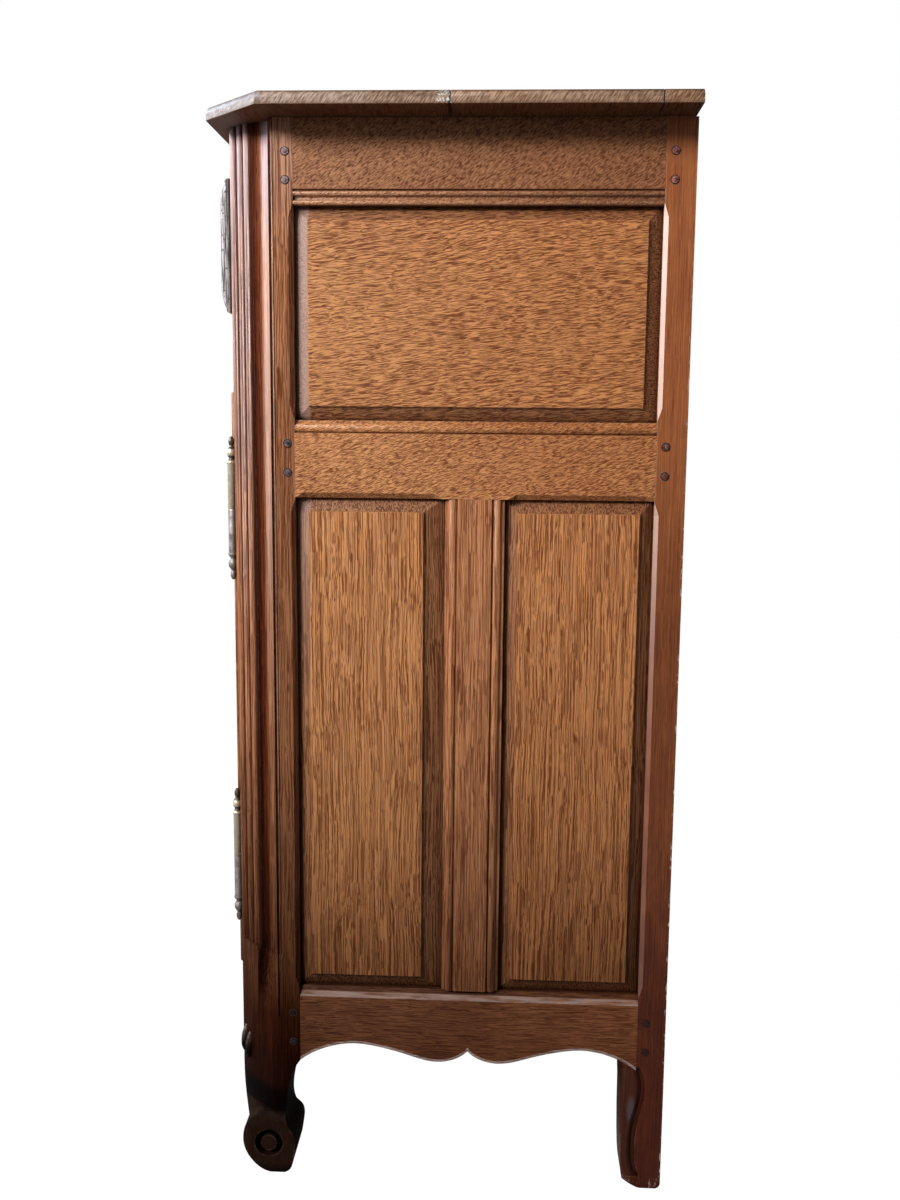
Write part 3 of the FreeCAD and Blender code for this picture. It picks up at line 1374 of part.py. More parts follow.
def lock_case():
    """Open-backed box lock screwed to the inside of the stile."""
    x0 = lock_case_left()
    x1 = x0 + LOCK_CASE_LENGTH
    z0 = LOCK_Z - LOCK_CASE_HEIGHT / 2
    z1 = z0 + LOCK_CASE_HEIGHT
    wall = LOCK_CASE_WALL
    shell = box(x0, x1, DOOR_BACK_Y, DOOR_BACK_Y + LOCK_CASE_DEPTH, z0, z1)
    hollow = box(x0 + wall, x1 - wall, DOOR_BACK_Y, DOOR_BACK_Y + LOCK_CASE_DEPTH - wall,
                 z0 + wall, z1 - wall)
    y0, y1, b0, b1 = bolt_band()
    slot = box(x0 - 1, x0 + wall + 1, y0 - BOLT_PLAY, y1 + BOLT_PLAY, b0 - BOLT_PLAY, b1 + BOLT_PLAY)
    return shell.cut([hollow, slot])


def lock_bolt():
    """Sliding bolt with a tail that the key's bit pushes."""
    y0, y1, z0, z1 = bolt_band()
    x0 = lock_case_left() + BOLT_PLAY
    push = KEY_X - BOLT_BACKLASH
    bar = box(x0, KEY_X + KEY_BIT_LENGTH, y0, y1, z0, z1)
    tail = box(push - TAIL_BLOCK, push, y0, y1, LOCK_Z - KEY_BIT_LENGTH * 0.8, z1)
    return fuse(bar, tail)


def bolt_mortise():
    y0, y1, z0, z1 = bolt_band()
    reach = FRONT_OPENING + BOLT_TRAVEL
    return box(-FRONT_OPENING, -reach, y0 - 1, y1 + 1, z0 - 1, z1 + 1)


def keep_plate():
    y0, y1, z0, z1 = bolt_band()
    return box(-FRONT_OPENING, -FRONT_OPENING - KEEP_THICKNESS, y0 - KEEP_MARGIN, y1 + KEEP_MARGIN,
               z0 - KEEP_MARGIN, z1 + KEEP_MARGIN)


def key():
    """Key in its hole: shank, bit inside the lock and a ring bow outside."""
    y0, y1, _, _ = bolt_band()
    start = DOOR_FRONT_Y - KEY_STANDS_OUT
    shank = Part.makeCylinder(KEY_RADIUS, y1 + 1 - start, V(KEY_X, start, LOCK_Z), REARWARD)
    t = KEY_BIT_THICKNESS / 2
    bit = box(KEY_X - t, KEY_X + t, y0 + 0.5, y1 - 0.5, LOCK_Z - KEY_BIT_LENGTH, LOCK_Z)
    ring = Part.makeTorus(BOW_RADIUS, BOW_WIRE, V(KEY_X, start - BOW_RADIUS - BOW_WIRE, LOCK_Z), V(1, 0, 0))
    collar = Part.makeCylinder(KEY_RADIUS + 1.2, 3, V(KEY_X, start - BOW_WIRE, LOCK_Z), REARWARD)
    return fuse(shank, bit, ring, collar)


def escutcheon():
    """Pierced plate round the keyhole."""
    w = ESCUTCHEON_WIDTH / 2
    h = ESCUTCHEON_HEIGHT / 2
    steps = [
        ("curve", (0.7 * w, 0.45 * h), (w, 0.05 * h), (0.75 * w, -0.5 * h), (0, -h)),
        ("curve", (-0.75 * w, -0.5 * h), (-w, 0.05 * h), (-0.7 * w, 0.45 * h), (0, h)),
    ]
    drop = KEY_BIT_LENGTH / 3
    wire = outline((0, h), steps, lambda p: V(KEY_X + p[0], DOOR_FRONT_Y, LOCK_Z - drop + p[1]))
    plate = extrude(wire, V(0, -ESCUTCHEON_THICKNESS, 0))
    return plate.cut(keyhole(DOOR_FRONT_Y - 2 * ESCUTCHEON_THICKNESS, DOOR_FRONT_Y + 1))


# Assembly

HINGE_HEIGHTS = {"upper": UPPER_HINGE_Z, "lower": LOWER_HINGE_Z}


def save_posts():
    post = front_post()
    save("front_post_right", post.cut([frame_leaf_plate(z) for z in HINGE_HEIGHTS.values()]))
    save("front_post_left", mirrored(post).cut([bolt_mortise(), keep_plate()]))
    both_sides("back_post", back_post())


def save_side_frames():
    both_sides("side_top_rail", side_top_rail())
    both_sides("side_middle_rail", side_middle_rail())
    both_sides("side_apron", side_apron())
    both_sides("side_muntin", side_muntin())
    for name, opening in side_openings().items():
        both_sides(name, side_panel(name, opening))


def save_front_and_back():
    save("front_top_rail", front_rail(FRONT_TOP_RAIL_BOTTOM, CARCASS_HEIGHT))
    save("front_middle_rail", front_rail(DOOR_HEAD, DRAWER_SILL))
    save("front_apron", front_apron())
    save("back_top_rail", back_rail(BACK_TOP_RAIL_BOTTOM, CARCASS_HEIGHT))
    save("back_bottom_rail", back_rail(BACK_BOTTOM_RAIL_BOTTOM, BACK_BOTTOM_RAIL_TOP))
    save("back_boards", *back_boards())


def save_pegs():
    side = [peg(*place, LEFTWARD) for place in side_peg_places()]
    save("side_pegs", *side, *[mirrored(one) for one in side])
    front = [peg(*place, REARWARD) for place in front_peg_places()]
    save("front_pegs", *front, *[mirrored(one) for one in front])
    back = [peg(*place, FORWARD, 0) for place in back_peg_places()]
    save("back_pegs", *back, *[mirrored(one) for one in back])
    save("door_pegs", *[peg(*place, REARWARD) for place in door_peg_places()])


def save_top_and_inside():
    for name, board in zip(("top_back_board", "top_middle_board", "top_front_board"), top_boards()):
        save(name, board)
    save("bottom_boards", *bottom_boards())
    save("lower_shelf", shelf(LOWER_SHELF_Z))
    save("upper_shelf", shelf(UPPER_SHELF_Z))
    save("shelf_cleats", *shelf_cleats())
    runner = drawer_runner()
    save("drawer_runners", runner, mirrored(runner))
    kicker = drawer_kicker()
    save("drawer_kickers", kicker, mirrored(kicker))


def save_drawer():
    save("drawer_front", drawer_front())
    both_sides("drawer_side", drawer_side())
    save("drawer_back", drawer_back())
    save("drawer_bottom", drawer_bottom_plate())
    save("pull_plates", pull_plate(-1), pull_plate(1))
    save("pull_bail_right", bail(1))
    save("pull_bail_left", bail(-1))


def save_door():
    hinge_stile, lock_stile, top_rail, bottom_rail = door_frame()
    save("door_hinge_stile", hinge_stile.cut([door_leaf_plate(z) for z in HINGE_HEIGHTS.values()]))
    save("door_lock_stile", lock_stile.cut(keyhole(DOOR_FRONT_Y - 1, DOOR_BACK_Y + 1)))
    save("door_top_rail", top_rail)
    save("door_bottom_rail", bottom_rail)
    save("door_panel", door_panel())
    for name, z in HINGE_HEIGHTS.items():
        save("hinge_frame_leaf_" + name, hinge_frame_leaf(z))
        save("hinge_door_leaf_" + name, hinge_door_leaf(z))
    save("lock_case", lock_case())
    save("lock_bolt", lock_bolt())
    save("lock_keep", keep_plate().cut(bolt_mortise()))
    save("escutcheon", escutcheon())
    save("key", key())


os.makedirs("parts", exist_ok=True)
save_posts()
save_side_frames()
save_front_and_back()
save_pegs()
save_top_and_inside()
save_drawer()
save_door()
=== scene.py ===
import math
from collections import namedtuple

import bmesh
import bpy
from mathutils import Matrix, Vector


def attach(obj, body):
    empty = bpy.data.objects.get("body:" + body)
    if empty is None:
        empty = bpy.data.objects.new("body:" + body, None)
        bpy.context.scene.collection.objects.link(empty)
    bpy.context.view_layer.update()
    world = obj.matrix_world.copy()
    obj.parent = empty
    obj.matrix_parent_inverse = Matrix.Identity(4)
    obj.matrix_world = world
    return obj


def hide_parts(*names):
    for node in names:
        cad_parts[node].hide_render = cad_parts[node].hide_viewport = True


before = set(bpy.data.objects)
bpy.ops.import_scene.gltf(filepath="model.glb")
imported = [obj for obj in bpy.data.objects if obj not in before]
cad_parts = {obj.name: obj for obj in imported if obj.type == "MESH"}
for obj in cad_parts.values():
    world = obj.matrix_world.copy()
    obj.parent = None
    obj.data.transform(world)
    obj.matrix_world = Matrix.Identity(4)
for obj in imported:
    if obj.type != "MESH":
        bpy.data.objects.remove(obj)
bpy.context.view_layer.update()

# Jelly cupboard: waxed oak, worn and darker towards the floor, with brass and iron fittings.
# Metres. +Z is up, the front faces -Y, the photographed side is +X.

# Places on the solids that the tones and carvings are laid to
SIDE_FACE = 0.4
CANT_START = -0.19335
DIAGONAL = math.sqrt(0.5)
HINGE_PIN = (0.331, -0.25605)
TOP_JOINT_FRONT, TOP_JOINT_BACK = 0.01425, 0.24125
BACK_BOARDS, BACK_WIDTH = 5, 0.698

# Widths of rounded arrises, and limits for merging triangles into whole faces
WOOD_ARRIS, METAL_ARRIS = 0.0009, 0.0004
SAME_PLACE, SAME_PLANE = 0.00001, math.radians(0.5)


def tone(red, green, blue):
    """A colour given in screen values, as the shader's linear colour."""
    def linear(value):
        value /= 255
        return value / 12.92 if value <= 0.04045 else ((value + 0.055) / 1.055) ** 2.4
    return (linear(red), linear(green), linear(blue), 1.0)


class Amount:
    """A value that changes over a surface. Sums and products of amounts add Math nodes."""

    def __init__(self, finish, made, out):
        self.finish = finish
        self.made = made
        self.socket = made.outputs[out] if len(made.outputs) else None

    def other(self, out):
        return Amount(self.finish, self.made, out)

    def math(self, operation, *values):
        return self.finish.node("ShaderNodeMath", {"operation": operation}, dict(enumerate(values)))

    def __add__(self, other):
        return self.math("ADD", self, other)

    def __radd__(self, other):
        return self.math("ADD", other, self)

    def __sub__(self, other):
        return self.math("SUBTRACT", self, other)

    def __rsub__(self, other):
        return self.math("SUBTRACT", other, self)

    def __mul__(self, other):
        return self.math("MULTIPLY", self, other)

    def __rmul__(self, other):
        return self.math("MULTIPLY", other, self)

    def __pow__(self, other):
        return self.math("POWER", self, other)

    def __abs__(self):
        return self.math("ABSOLUTE", self)

    def least(self, other):
        return self.math("MINIMUM", self, other)

    def most(self, other):
        return self.math("MAXIMUM", self, other)

    def rise(self, low, high, start=0.0, end=1.0):
        """Smooth step from start to end as the amount goes from low to high."""
        sockets = {0: self, 1: low, 2: high, 3: start, 4: end}
        return self.finish.node("ShaderNodeMapRange", {"interpolation_type": "SMOOTHSTEP"}, sockets)

    def fall(self, low, high):
        """Smooth step from one down to nought."""
        return self.rise(low, high, 1.0, 0.0)

    def between(self, start, full, fading, gone):
        """Nought up to start, one from full to fading, nought again from gone."""
        return self.rise(start, full) * self.fall(fading, gone)

    def band(self, middle, half, soft):
        """One inside a band of values, nought outside it."""
        return abs(self - middle).fall(half, half + soft)


class Finish:
    """The nodes of one material, or of the world, built one by one."""

    def __init__(self, owner):
        owner.use_nodes = True
        self.owner = owner
        self.tree = owner.node_tree
        self.tree.nodes.clear()

    def node(self, kind, settings, sockets, out=0):
        """Adds a node: its settings first, then the values or links of its sockets."""
        made = self.tree.nodes.new(kind)
        for key, value in settings.items():
            setattr(made, key, value)
        for key, value in sockets.items():
            if isinstance(value, Amount):
                self.tree.links.new(value.socket, made.inputs[key])
            else:
                made.inputs[key].default_value = value
        return Amount(self, made, out)

    def place(self):
        return self.node("ShaderNodeTexCoord", {}, {}, "Object")

    def moved(self, place, scale, offset=(0, 0, 0)):
        sockets = {"Vector": place, "Scale": scale, "Location": offset}
        return self.node("ShaderNodeMapping", {}, sockets)

    def turned(self, place, angles):
        return self.node("ShaderNodeMapping", {}, {"Vector": place, "Rotation": angles})

    def split(self, place):
        parts = self.node("ShaderNodeSeparateXYZ", {}, {0: place})
        return parts, parts.other("Y"), parts.other("Z")

    def noise(self, vector, detail, rough=0.5):
        sockets = {"Vector": vector, "Scale": 1.0, "Detail": detail, "Roughness": rough}
        return self.node("ShaderNodeTexNoise", {}, sockets)

    def mix(self, factor, first, second, kind="MIX"):
        settings = {"data_type": "RGBA", "blend_type": kind}
        return self.node("ShaderNodeMix", settings, {0: factor, 6: first, 7: second}, 2)

    def tinted(self, factor, colour, tint):
        """The colour darkened or reddened by a tint, as far as the factor says."""
        return self.mix(factor, colour, self.mix(1.0, colour, (*tint, 1.0), "MULTIPLY"))

    def near(self, distance, inside=False):
        """How open a place is: low in corners, or at outer arrises when felt from inside the wood."""
        settings = {"samples": 6, "inside": inside, "only_local": inside}
        return self.node("ShaderNodeAmbientOcclusion", settings, {"Distance": distance}, "AO")

    def vector(self, operation, first, second):
        return self.node("ShaderNodeVectorMath", {"operation": operation}, {0: first, 1: second})

    def shift(self, place, colour, strength):
        """Bends a place by a colour noise, centred on nought."""
        centred = self.vector("SUBTRACT", colour, (0.5, 0.5, 0.5))
        return self.vector("ADD", place, self.vector("MULTIPLY", centred, strength))

    def bump(self, height, strength, distance):
        sockets = {"Height": height, "Strength": strength, "Distance": distance}
        return self.node("ShaderNodeBump", {}, sockets)

    def surface(self, constants, links):
        """The shader itself: plain numbers on its own sockets, varying amounts linked."""
        shader = self.node("ShaderNodeBsdfPrincipled", {}, {**constants, **links})
        self.node("ShaderNodeOutputMaterial", {}, {"Surface": shader})
        return self.owner


# Oak

def along_grain(grain, along, across):
    """Scales of a pattern that runs with the grain."""
    return tuple(along if axis == grain else across for axis in "XYZ")


# How a board was sawn: length and closeness of its grain strokes, their slant, waviness and contrast
Cut = namedtuple("Cut", "along across slant wave contrast", defaults=(0.0, 1.0, 1.0))
CURLY = Cut(52.0, 1200.0, slant=0.12, wave=0.9, contrast=2.3)
STRAIGHT = Cut(5.5, 1000.0, wave=0.6, contrast=2.0)
SLANTED = Cut(170.0, 1240.0, slant=0.60, wave=1.0, contrast=1.9)
SLOPING = Cut(120.0, 1240.0, slant=0.30, wave=1.0, contrast=1.8)
WAVY = Cut(20.0, 1140.0, wave=0.8, contrast=1.15)
CLOSE = Cut(9.0, 900.0, wave=0.5, contrast=1.3)
SMOOTH = Cut(7.0, 820.0, wave=0.6, contrast=0.45)

# Darkening towards the floor, part grime of hands and floors, part painted shade: share, height where
# it is full, height where it ends
POST_SOIL_AND_SHADE = ((0.45, 0.60, 1.30), (0.55, 0.14, 0.68))
PANEL_SOIL_AND_SHADE = ((0.25, 0.45, 0.85), (0.70, 0.10, 0.60))
BACK_SOIL_AND_SHADE = ((0.58, 0.70, 0.98), (0.40, 0.21, 0.59))
NO_SOIL_OR_SHADE = ()

# Tints of the darkening towards the floor: grime and painted shade together
POST_DIRT_AND_SHADE = (0.056, 0.030, 0.016)
BACK_DIRT_AND_SHADE = (0.18, 0.085, 0.052)
PEG_DIRT_AND_SHADE = (0.20, 0.15, 0.13)
PANEL_DIRT_AND_SHADE = (0.16, 0.12, 0.10)

# What the dark and the light of the grain make of a board's own tone
GRAIN_DARK = (0.40, 0.27, 0.20, 1.0)
GRAIN_LIGHT = (1.42, 1.47, 1.42, 1.0)


def oak(name, grain, pale, seed, cut, soil=PANEL_SOIL_AND_SHADE, dirt=PANEL_DIRT_AND_SHADE, wear=0.3, sheen=0.36,
        dulled=1.0, gloss=0.10, marks=None):
    """Waxed oak: strokes, pores and fibres, darker low down from grime and painted shade, painted
    shade in corners, worn at the arrises.
    """
    f = Finish(bpy.data.materials.new(name))
    here = f.place()
    start = (seed * 3.1, seed * 1.7, seed * 2.3)

    def drawn_out(place, along, across, detail=1.0):
        return f.noise(f.moved(place, along_grain(grain, along, across), start), detail)

    turn = (-cut.slant, 0.0, 0.0) if grain != "X" else (0.0, cut.slant, 0.0)
    sway = drawn_out(here, 5.0, 11.0).other("Color")
    ripple = drawn_out(here, 55.0, 90.0).other("Color")
    bent = f.shift(f.turned(here, turn), sway, along_grain(grain, 0.0, 0.018 * cut.wave))
    bent = f.shift(bent, ripple, along_grain(grain, 0.0, 0.0030 * cut.wave))

    broad = drawn_out(bent, 2.4, 14.0, 2.0)
    strokes = drawn_out(bent, cut.along, cut.across)
    fibres = drawn_out(bent, cut.along * 2.5, cut.across * 2.2)
    pores = drawn_out(bent, cut.along * 1.6, cut.across * 1.3).rise(0.58, 0.70)
    figure = 2.4 * (strokes - 0.5) + 0.7 * (fibres - 0.5) - 0.45 * pores + 0.04
    shade = 0.5 + cut.contrast * figure + 0.45 * (broad - 0.5)
    dark = tuple(a * b for a, b in zip(pale, GRAIN_DARK))
    light = tuple(a * b for a, b in zip(pale, GRAIN_LIGHT))
    colour = f.mix(shade.most(0.0).least(1.0), dark, light)

    _, _, z = f.split(here)
    patches = f.noise(f.moved(here, (7.0, 7.0, 4.0), start), 3.0)
    colour = f.tinted(patches.rise(0.52, 0.72) * 0.25, colour, (0.80, 0.68, 0.66))
    wax = 1.0
    # Grime and painted shade together darken the wood towards the floor
    if soil:
        soiled = sum(share * z.fall(full, clean_and_lit) for share, full, clean_and_lit in soil)
        colour = f.tinted((soiled * (0.82 + 0.36 * patches)).least(1.0), colour, dirt)
        wax = (1.0 - dulled * soiled).most(0.0)
    if marks:
        colour, waxed = marks(f, here, colour)
        wax = wax * waxed

    # Painted shade: corners and crevices darkened by how open they are
    open_here = f.near(0.014)
    shadow = open_here.fall(0.55, 0.96)
    crevice_shade = open_here.fall(0.16, 0.50)
    colour = f.tinted(shadow * 0.5, colour, (0.42, 0.33, 0.28))
    colour = f.mix(crevice_shade * 0.92, colour, tone(14, 7, 5))
    if wear:
        arris = f.near(0.0022, True).fall(0.45, 0.85)
        rubbed = arris * f.noise(f.moved(here, (90.0, 90.0, 90.0), start), 3.0, 0.6).rise(0.38, 0.62)
        # Hands rub the upper part, brooms and floors the feet
        handled = z.rise(0.25, 0.70) + z.rise(0.07, 0.09, 0.4, 0.0)
        colour = f.mix(rubbed * handled * wear, colour, tone(196, 172, 158))

    normal = f.bump(shade - 0.5 * pores, 0.30, 0.0005)
    rough = (0.55 + 0.15 * pores + 0.20 * (patches - 0.5)).least(0.95)
    coat = wax * (0.75 + 0.5 * (shade - 0.5)).least(1.0).most(0.0) * (1.0 - crevice_shade)
    return f.surface({"Specular IOR Level": gloss, "Coat Roughness": sheen},
                     {"Base Color": colour, "Roughness": rough, "Coat Weight": coat, "Normal": normal})


def post_marks(f, here, colour):
    """Old polish and painted shade dark in the hollow of the canted corner and between its reeds,
    painted highlights on the hollow's outer edge, the reed crests and the top of the post, a painted
    shadow above the scroll, and a sooty foot.
    """
    x, y, z = f.split(here)
    inwards = SIDE_FACE - abs(x)
    forwards = CANT_START - y
    across = (inwards + forwards) * DIAGONAL
    outwards = (forwards - inwards) * DIAGONAL
    cant = outwards.rise(-0.014, -0.010) * z.rise(0.20, 0.26)
    # Painted highlight on the outer edge of the hollow, fading downwards
    clean_and_lit = z.rise(0.48, 1.25)
    lip = across.between(0.0005, 0.002, 0.0200, 0.0262) * cant
    colour = f.mix(lip * 0.44 * clean_and_lit, colour, tone(228, 192, 176))
    # Dark in the hollow: old polish and painted shade, darkest in its deepest part
    hollow = across.between(0.0210, 0.0268, 0.0335, 0.0355) * cant
    colour = f.tinted(hollow * 0.95, colour, (0.32, 0.15, 0.07))
    groove = across.rise(0.0280, 0.0320) * hollow
    colour = f.tinted(groove * 0.9, colour, (0.36, 0.27, 0.22))
    reeds = across.between(0.0338, 0.0345, 0.0755, 0.0765) * cant
    colour = f.tinted(reeds * z.rise(0.78, 1.05), colour, (0.58, 0.43, 0.34))
    colour = f.tinted(reeds * z.band(0.70, 0.10, 0.16), colour, (1.25, 1.28, 1.35))
    # Reed crests rubbed pale with a painted highlight near the top; valleys dark with old polish and
    # painted shade
    crest = reeds * outwards.rise(0.0030, 0.0043)
    colour = f.mix(crest * z.rise(1.08, 1.24) * 0.25, colour, tone(232, 204, 196))
    valley = reeds * outwards.fall(0.0010, 0.0036)
    colour = f.mix(valley * z.rise(0.80, 1.25, 0.90, 0.72), colour, tone(56, 26, 16))
    # Painted sheen: paler and bluer at the top of the post
    colour = f.tinted(z.rise(1.11, 1.26), colour, (1.02, 1.26, 1.80))
    # Painted shadow: a dark band where the leg meets the scroll
    colour = f.tinted(z.band(0.098, 0.010, 0.020), colour, (0.16, 0.16, 0.17))
    colour = f.tinted(z.fall(0.06, 0.30), colour, (0.84, 0.79, 0.42))
    colour = f.tinted(z.band(0.120, 0.025, 0.045), colour, (0.60, 0.53, 0.46))
    mottle = f.noise(f.moved(here, (110.0, 110.0, 110.0)), 3.0, 0.6).rise(0.36, 0.64, 0.40, 0.95)
    scroll = z.fall(0.080, 0.087) * mottle
    return f.mix(scroll, colour, tone(38, 25, 18)), 1.0 - hollow


def back_post_marks(f, here, colour):
    """A chamfer beside the panels rubbed pale with painted sheen, mottled wood, and a foot with a dull
    leaf carrying a painted highlight and a dark wing.
    """
    x, y, z = f.split(here)
    depth = abs(x)
    # Rubbing and painted sheen: the chamfer pale and pink, more so higher up
    chamfer = y.between(0.2510, 0.2518, 0.2566, 0.2574) * z.rise(0.23, 0.25) \
        * depth.between(0.3935, 0.3945, 0.39975, 0.39995)
    colour = f.mix(chamfer * (0.06 + 0.94 * z.rise(0.50, 1.25)), colour, tone(255, 220, 208))
    colour = f.tinted(z.fall(0.14, 0.24), colour, (1.17, 1.26, 1.20))
    mottle = f.noise(f.moved(here, (70.0, 70.0, 28.0)), 3.0, 0.6).rise(0.42, 0.66)
    leaf = y.fall(0.2500, 0.2580) * z.fall(0.150, 0.165) * z.rise(0.010, 0.030)
    colour = f.tinted(mottle * z.rise(0.40, 0.70, 0.9, 0.3) * (1.0 - leaf), colour, (1.28, 1.34, 1.16))
    colour = f.tinted(leaf, colour, (0.78, 1.00, 1.30))
    # Painted highlight on the leaf
    sideways, upwards = (y - 0.2470) * 150.0, (z - 0.105) * 45.0
    shine = (sideways * sideways + upwards * upwards).fall(0.0, 1.0) * leaf
    colour = f.mix(shine * 0.55, colour, tone(92, 86, 92))
    wing = y.fall(0.2335, 0.2365) * z.fall(0.16, 0.18)
    colour = f.tinted(wing, colour, (0.34, 0.36, 0.40))
    chips = f.noise(f.moved(here, (240.0, 240.0, 90.0)), 3.0, 0.6).rise(0.56, 0.64)
    edge = y.rise(0.2838, 0.2852) * depth.rise(0.3970, 0.3990) * z.rise(0.9, 1.1, 1.0, 0.3)
    colour = f.mix(edge * chips * 0.8, colour, tone(214, 198, 190))
    worn_tip = z.fall(0.004, 0.016) * chips
    return f.mix(worn_tip * 0.7, colour, tone(196, 180, 168)), 1.0 - wing


def panel_marks(f, here, colour):
    """Browner towards the back as painted shade, with old grime on the bevels round the raised field,
    tinted bluish as painted sheen, and a painted highlight on the front bevels higher up.
    """
    x, y, z = f.split(here)
    # Painted shade: browner towards the back, away from the light
    colour = f.tinted(y.rise(-0.15, 0.20), colour, (0.97, 0.90, 0.86))
    # Old grime on the bevels, tinted bluish as painted sheen
    bevel = abs(x).fall(0.3942, 0.3950)
    colour = f.tinted(bevel * 0.9, colour, (0.54, 0.53, 0.57))
    # Painted highlight on the front bevels, higher up
    facing_light = bevel * y.fall(-0.1490, -0.1480) * z.rise(0.55, 1.0)
    return f.mix(facing_light * 0.4, colour, tone(196, 172, 164)), 1.0


def top_marks(f, here, colour):
    """Weathered rim with hatched end grain, a crack and a chipped place, a painted bluish sheen and
    highlight on the canted rim, and a dark underside of painted shade.
    """
    x, y, z = f.split(here)
    slanted = f.turned(here, (-0.95, 0.0, 0.0))
    hatch = f.noise(f.moved(slanted, (160.0, 110.0, 760.0)), 1.0)
    rim = f.mix(hatch.rise(0.34, 0.66), tone(132, 104, 84), tone(200, 176, 158))
    drift = f.noise(f.moved(here, (9.0, 9.0, 9.0)), 2.0)
    rim = f.tinted(drift.rise(0.40, 0.65) * 0.7, rim, (0.80, 0.66, 0.54))
    rim = f.tinted(y.rise(-0.16, 0.08) * 0.85, rim, (0.92, 0.75, 0.60))
    rim = f.tinted(z.rise(1.2962, 1.2976) * 0.8, rim, (0.40, 0.33, 0.28))
    rim = f.tinted(z.rise(1.2852, 1.2890, 0.75, 0.0), rim, (0.62, 0.54, 0.48))
    rubbed = z.between(1.2846, 1.2856, 1.2980, 1.2998)
    colour = f.mix(rubbed, colour, rim)
    joints = y.band(TOP_JOINT_FRONT, 0.0005, 0.0006).most(y.band(TOP_JOINT_BACK, 0.0006, 0.0006))
    crack = y.band(0.0130, 0.0014, 0.0008) * z.fall(1.2880, 1.2930)
    overhang = abs(x).rise(0.40, 0.41)
    colour = f.mix(joints.most(crack) * overhang * 0.85, colour, tone(24, 14, 10))
    crumbs = f.noise(f.moved(here, (380.0, 380.0, 380.0)), 3.0).rise(0.48, 0.58)
    chipped = abs(y - 0.007).fall(0.005, 0.010) * crumbs
    colour = f.mix(chipped * rubbed * abs(x).rise(0.44, 0.45), colour, tone(236, 228, 220))
    below = z.fall(1.2842, 1.2849)
    # Painted sheen on the canted rim: darker and bluer, with a painted highlight along its upper part
    cant = (abs(x) - y).rise(0.640, 0.660) * rubbed
    colour = f.tinted(cant, colour, (0.38, 0.41, 0.48))
    colour = f.mix(cant * z.rise(1.2905, 1.2930) * 0.7, colour, tone(156, 164, 182))
    # Painted shade under the top, lighter grey under the front
    colour = f.tinted(below, colour, (0.58, 0.49, 0.44))
    colour = f.mix(below * y.rise(-0.240, -0.215, 0.6, 0.0), colour, tone(140, 122, 110))
    return colour, (1.0 - below) * z.rise(1.2980, 1.2996, 1.0, 0.25)


def rail_marks(f, here, colour):
    """Beads beside the panel paler than the rail, part rubbed and part painted highlight; the rail is
    browner towards the back as painted shade.
    """
    _, y, z = f.split(here)
    # Beads paler and bluer: rubbing and a painted highlight
    beads = z.fall(1.2045, 1.2060)
    colour = f.tinted(beads, colour, (1.35, 1.54, 1.82))
    # Painted shade: browner towards the back
    return f.tinted(y.rise(-0.16, 0.24, 0.35, 1.0), colour, (0.80, 0.72, 0.68)), 1.0


def middle_rail_marks(f, here, colour):
    """Browner towards the back, as painted shade."""
    _, y, _ = f.split(here)
    # Painted shade: browner towards the back
    return f.tinted(y.rise(-0.16, 0.24), colour, (0.88, 0.79, 0.72)), 1.0


def apron_marks(f, here, colour):
    """Pale, powdery chamfer under the panels, its paleness partly painted sheen."""
    _, y, z = f.split(here)
    # Painted sheen on the chamfer, pale in powdery streaks
    dust_and_sheen = f.noise(f.moved(here, (60.0, 22.0, 260.0)), 3.0, 0.6)
    chamfer = z.between(0.2412, 0.2424, 0.2478, 0.2490)
    colour = f.tinted(y.rise(-0.02, 0.24), colour, (1.36, 1.33, 1.28))
    colour = f.mix(chamfer * dust_and_sheen.rise(0.30, 0.62, 0.08, 0.50), colour, tone(186, 162, 152))
    colour = f.tinted(z.rise(0.2478, 0.2490), colour, (0.50, 0.46, 0.42))
    return colour, 1.0 - 0.5 * chamfer


def drawer_marks(f, here, colour):
    """Grey, pitted end grain at both ends of the drawer front, with painted shade deeper in the gap
    beside the post.
    """
    x, y, _ = f.split(here)
    streaks = f.noise(f.moved(here, (500.0, 500.0, 30.0)), 2.0)
    pits = f.noise(f.moved(here, (330.0, 330.0, 200.0)), 2.0).rise(0.60, 0.66)
    end_grain = f.mix(streaks.rise(0.36, 0.64), tone(92, 85, 86), tone(214, 208, 210))
    end_grain = f.mix(pits * 0.8, end_grain, tone(34, 28, 28))
    # Painted shade: the end grain dark deeper in the gap beside the post
    end_grain = f.mix(y.rise(-0.2578, -0.2535), end_grain, tone(40, 26, 26))
    end = abs(x).rise(0.3255, 0.3280)
    return f.mix(end, colour, end_grain), 1.0 - 0.6 * end


def back_board_marks(f, here, colour):
    """Boards side by side, each of its own tone, with a dark joint between neighbours."""
    x, _, _ = f.split(here)
    along = (x + BACK_WIDTH / 2) * (BACK_BOARDS / BACK_WIDTH)
    board = along.math("FLOOR", along)
    own = f.noise(f.node("ShaderNodeCombineXYZ", {}, {0: board * 3.7}), 0.0)
    colour = f.tinted(own.rise(0.35, 0.65), colour, (0.74, 0.70, 0.66))
    joint = abs(along - board - 0.5).rise(0.490, 0.496)
    return f.mix(joint * 0.9, colour, tone(24, 16, 12)), 1.0 - joint


def peg_marks(f, here, colour):
    """Heads are darker low down; those at the back have taken the tone of the wood round them."""
    _, y, z = f.split(here)
    at_back = y.rise(0.20, 0.23)
    colour = f.tinted(at_back, colour, (1.10, 0.62, 0.48))
    colour = f.tinted(z.fall(0.95, 1.15), colour, (0.66, 0.66, 0.66))
    low = z.fall(0.25, 0.60) * (1.0 - at_back)
    return f.tinted(low, colour, (0.36, 0.30, 0.28)), 1.0


# Metal

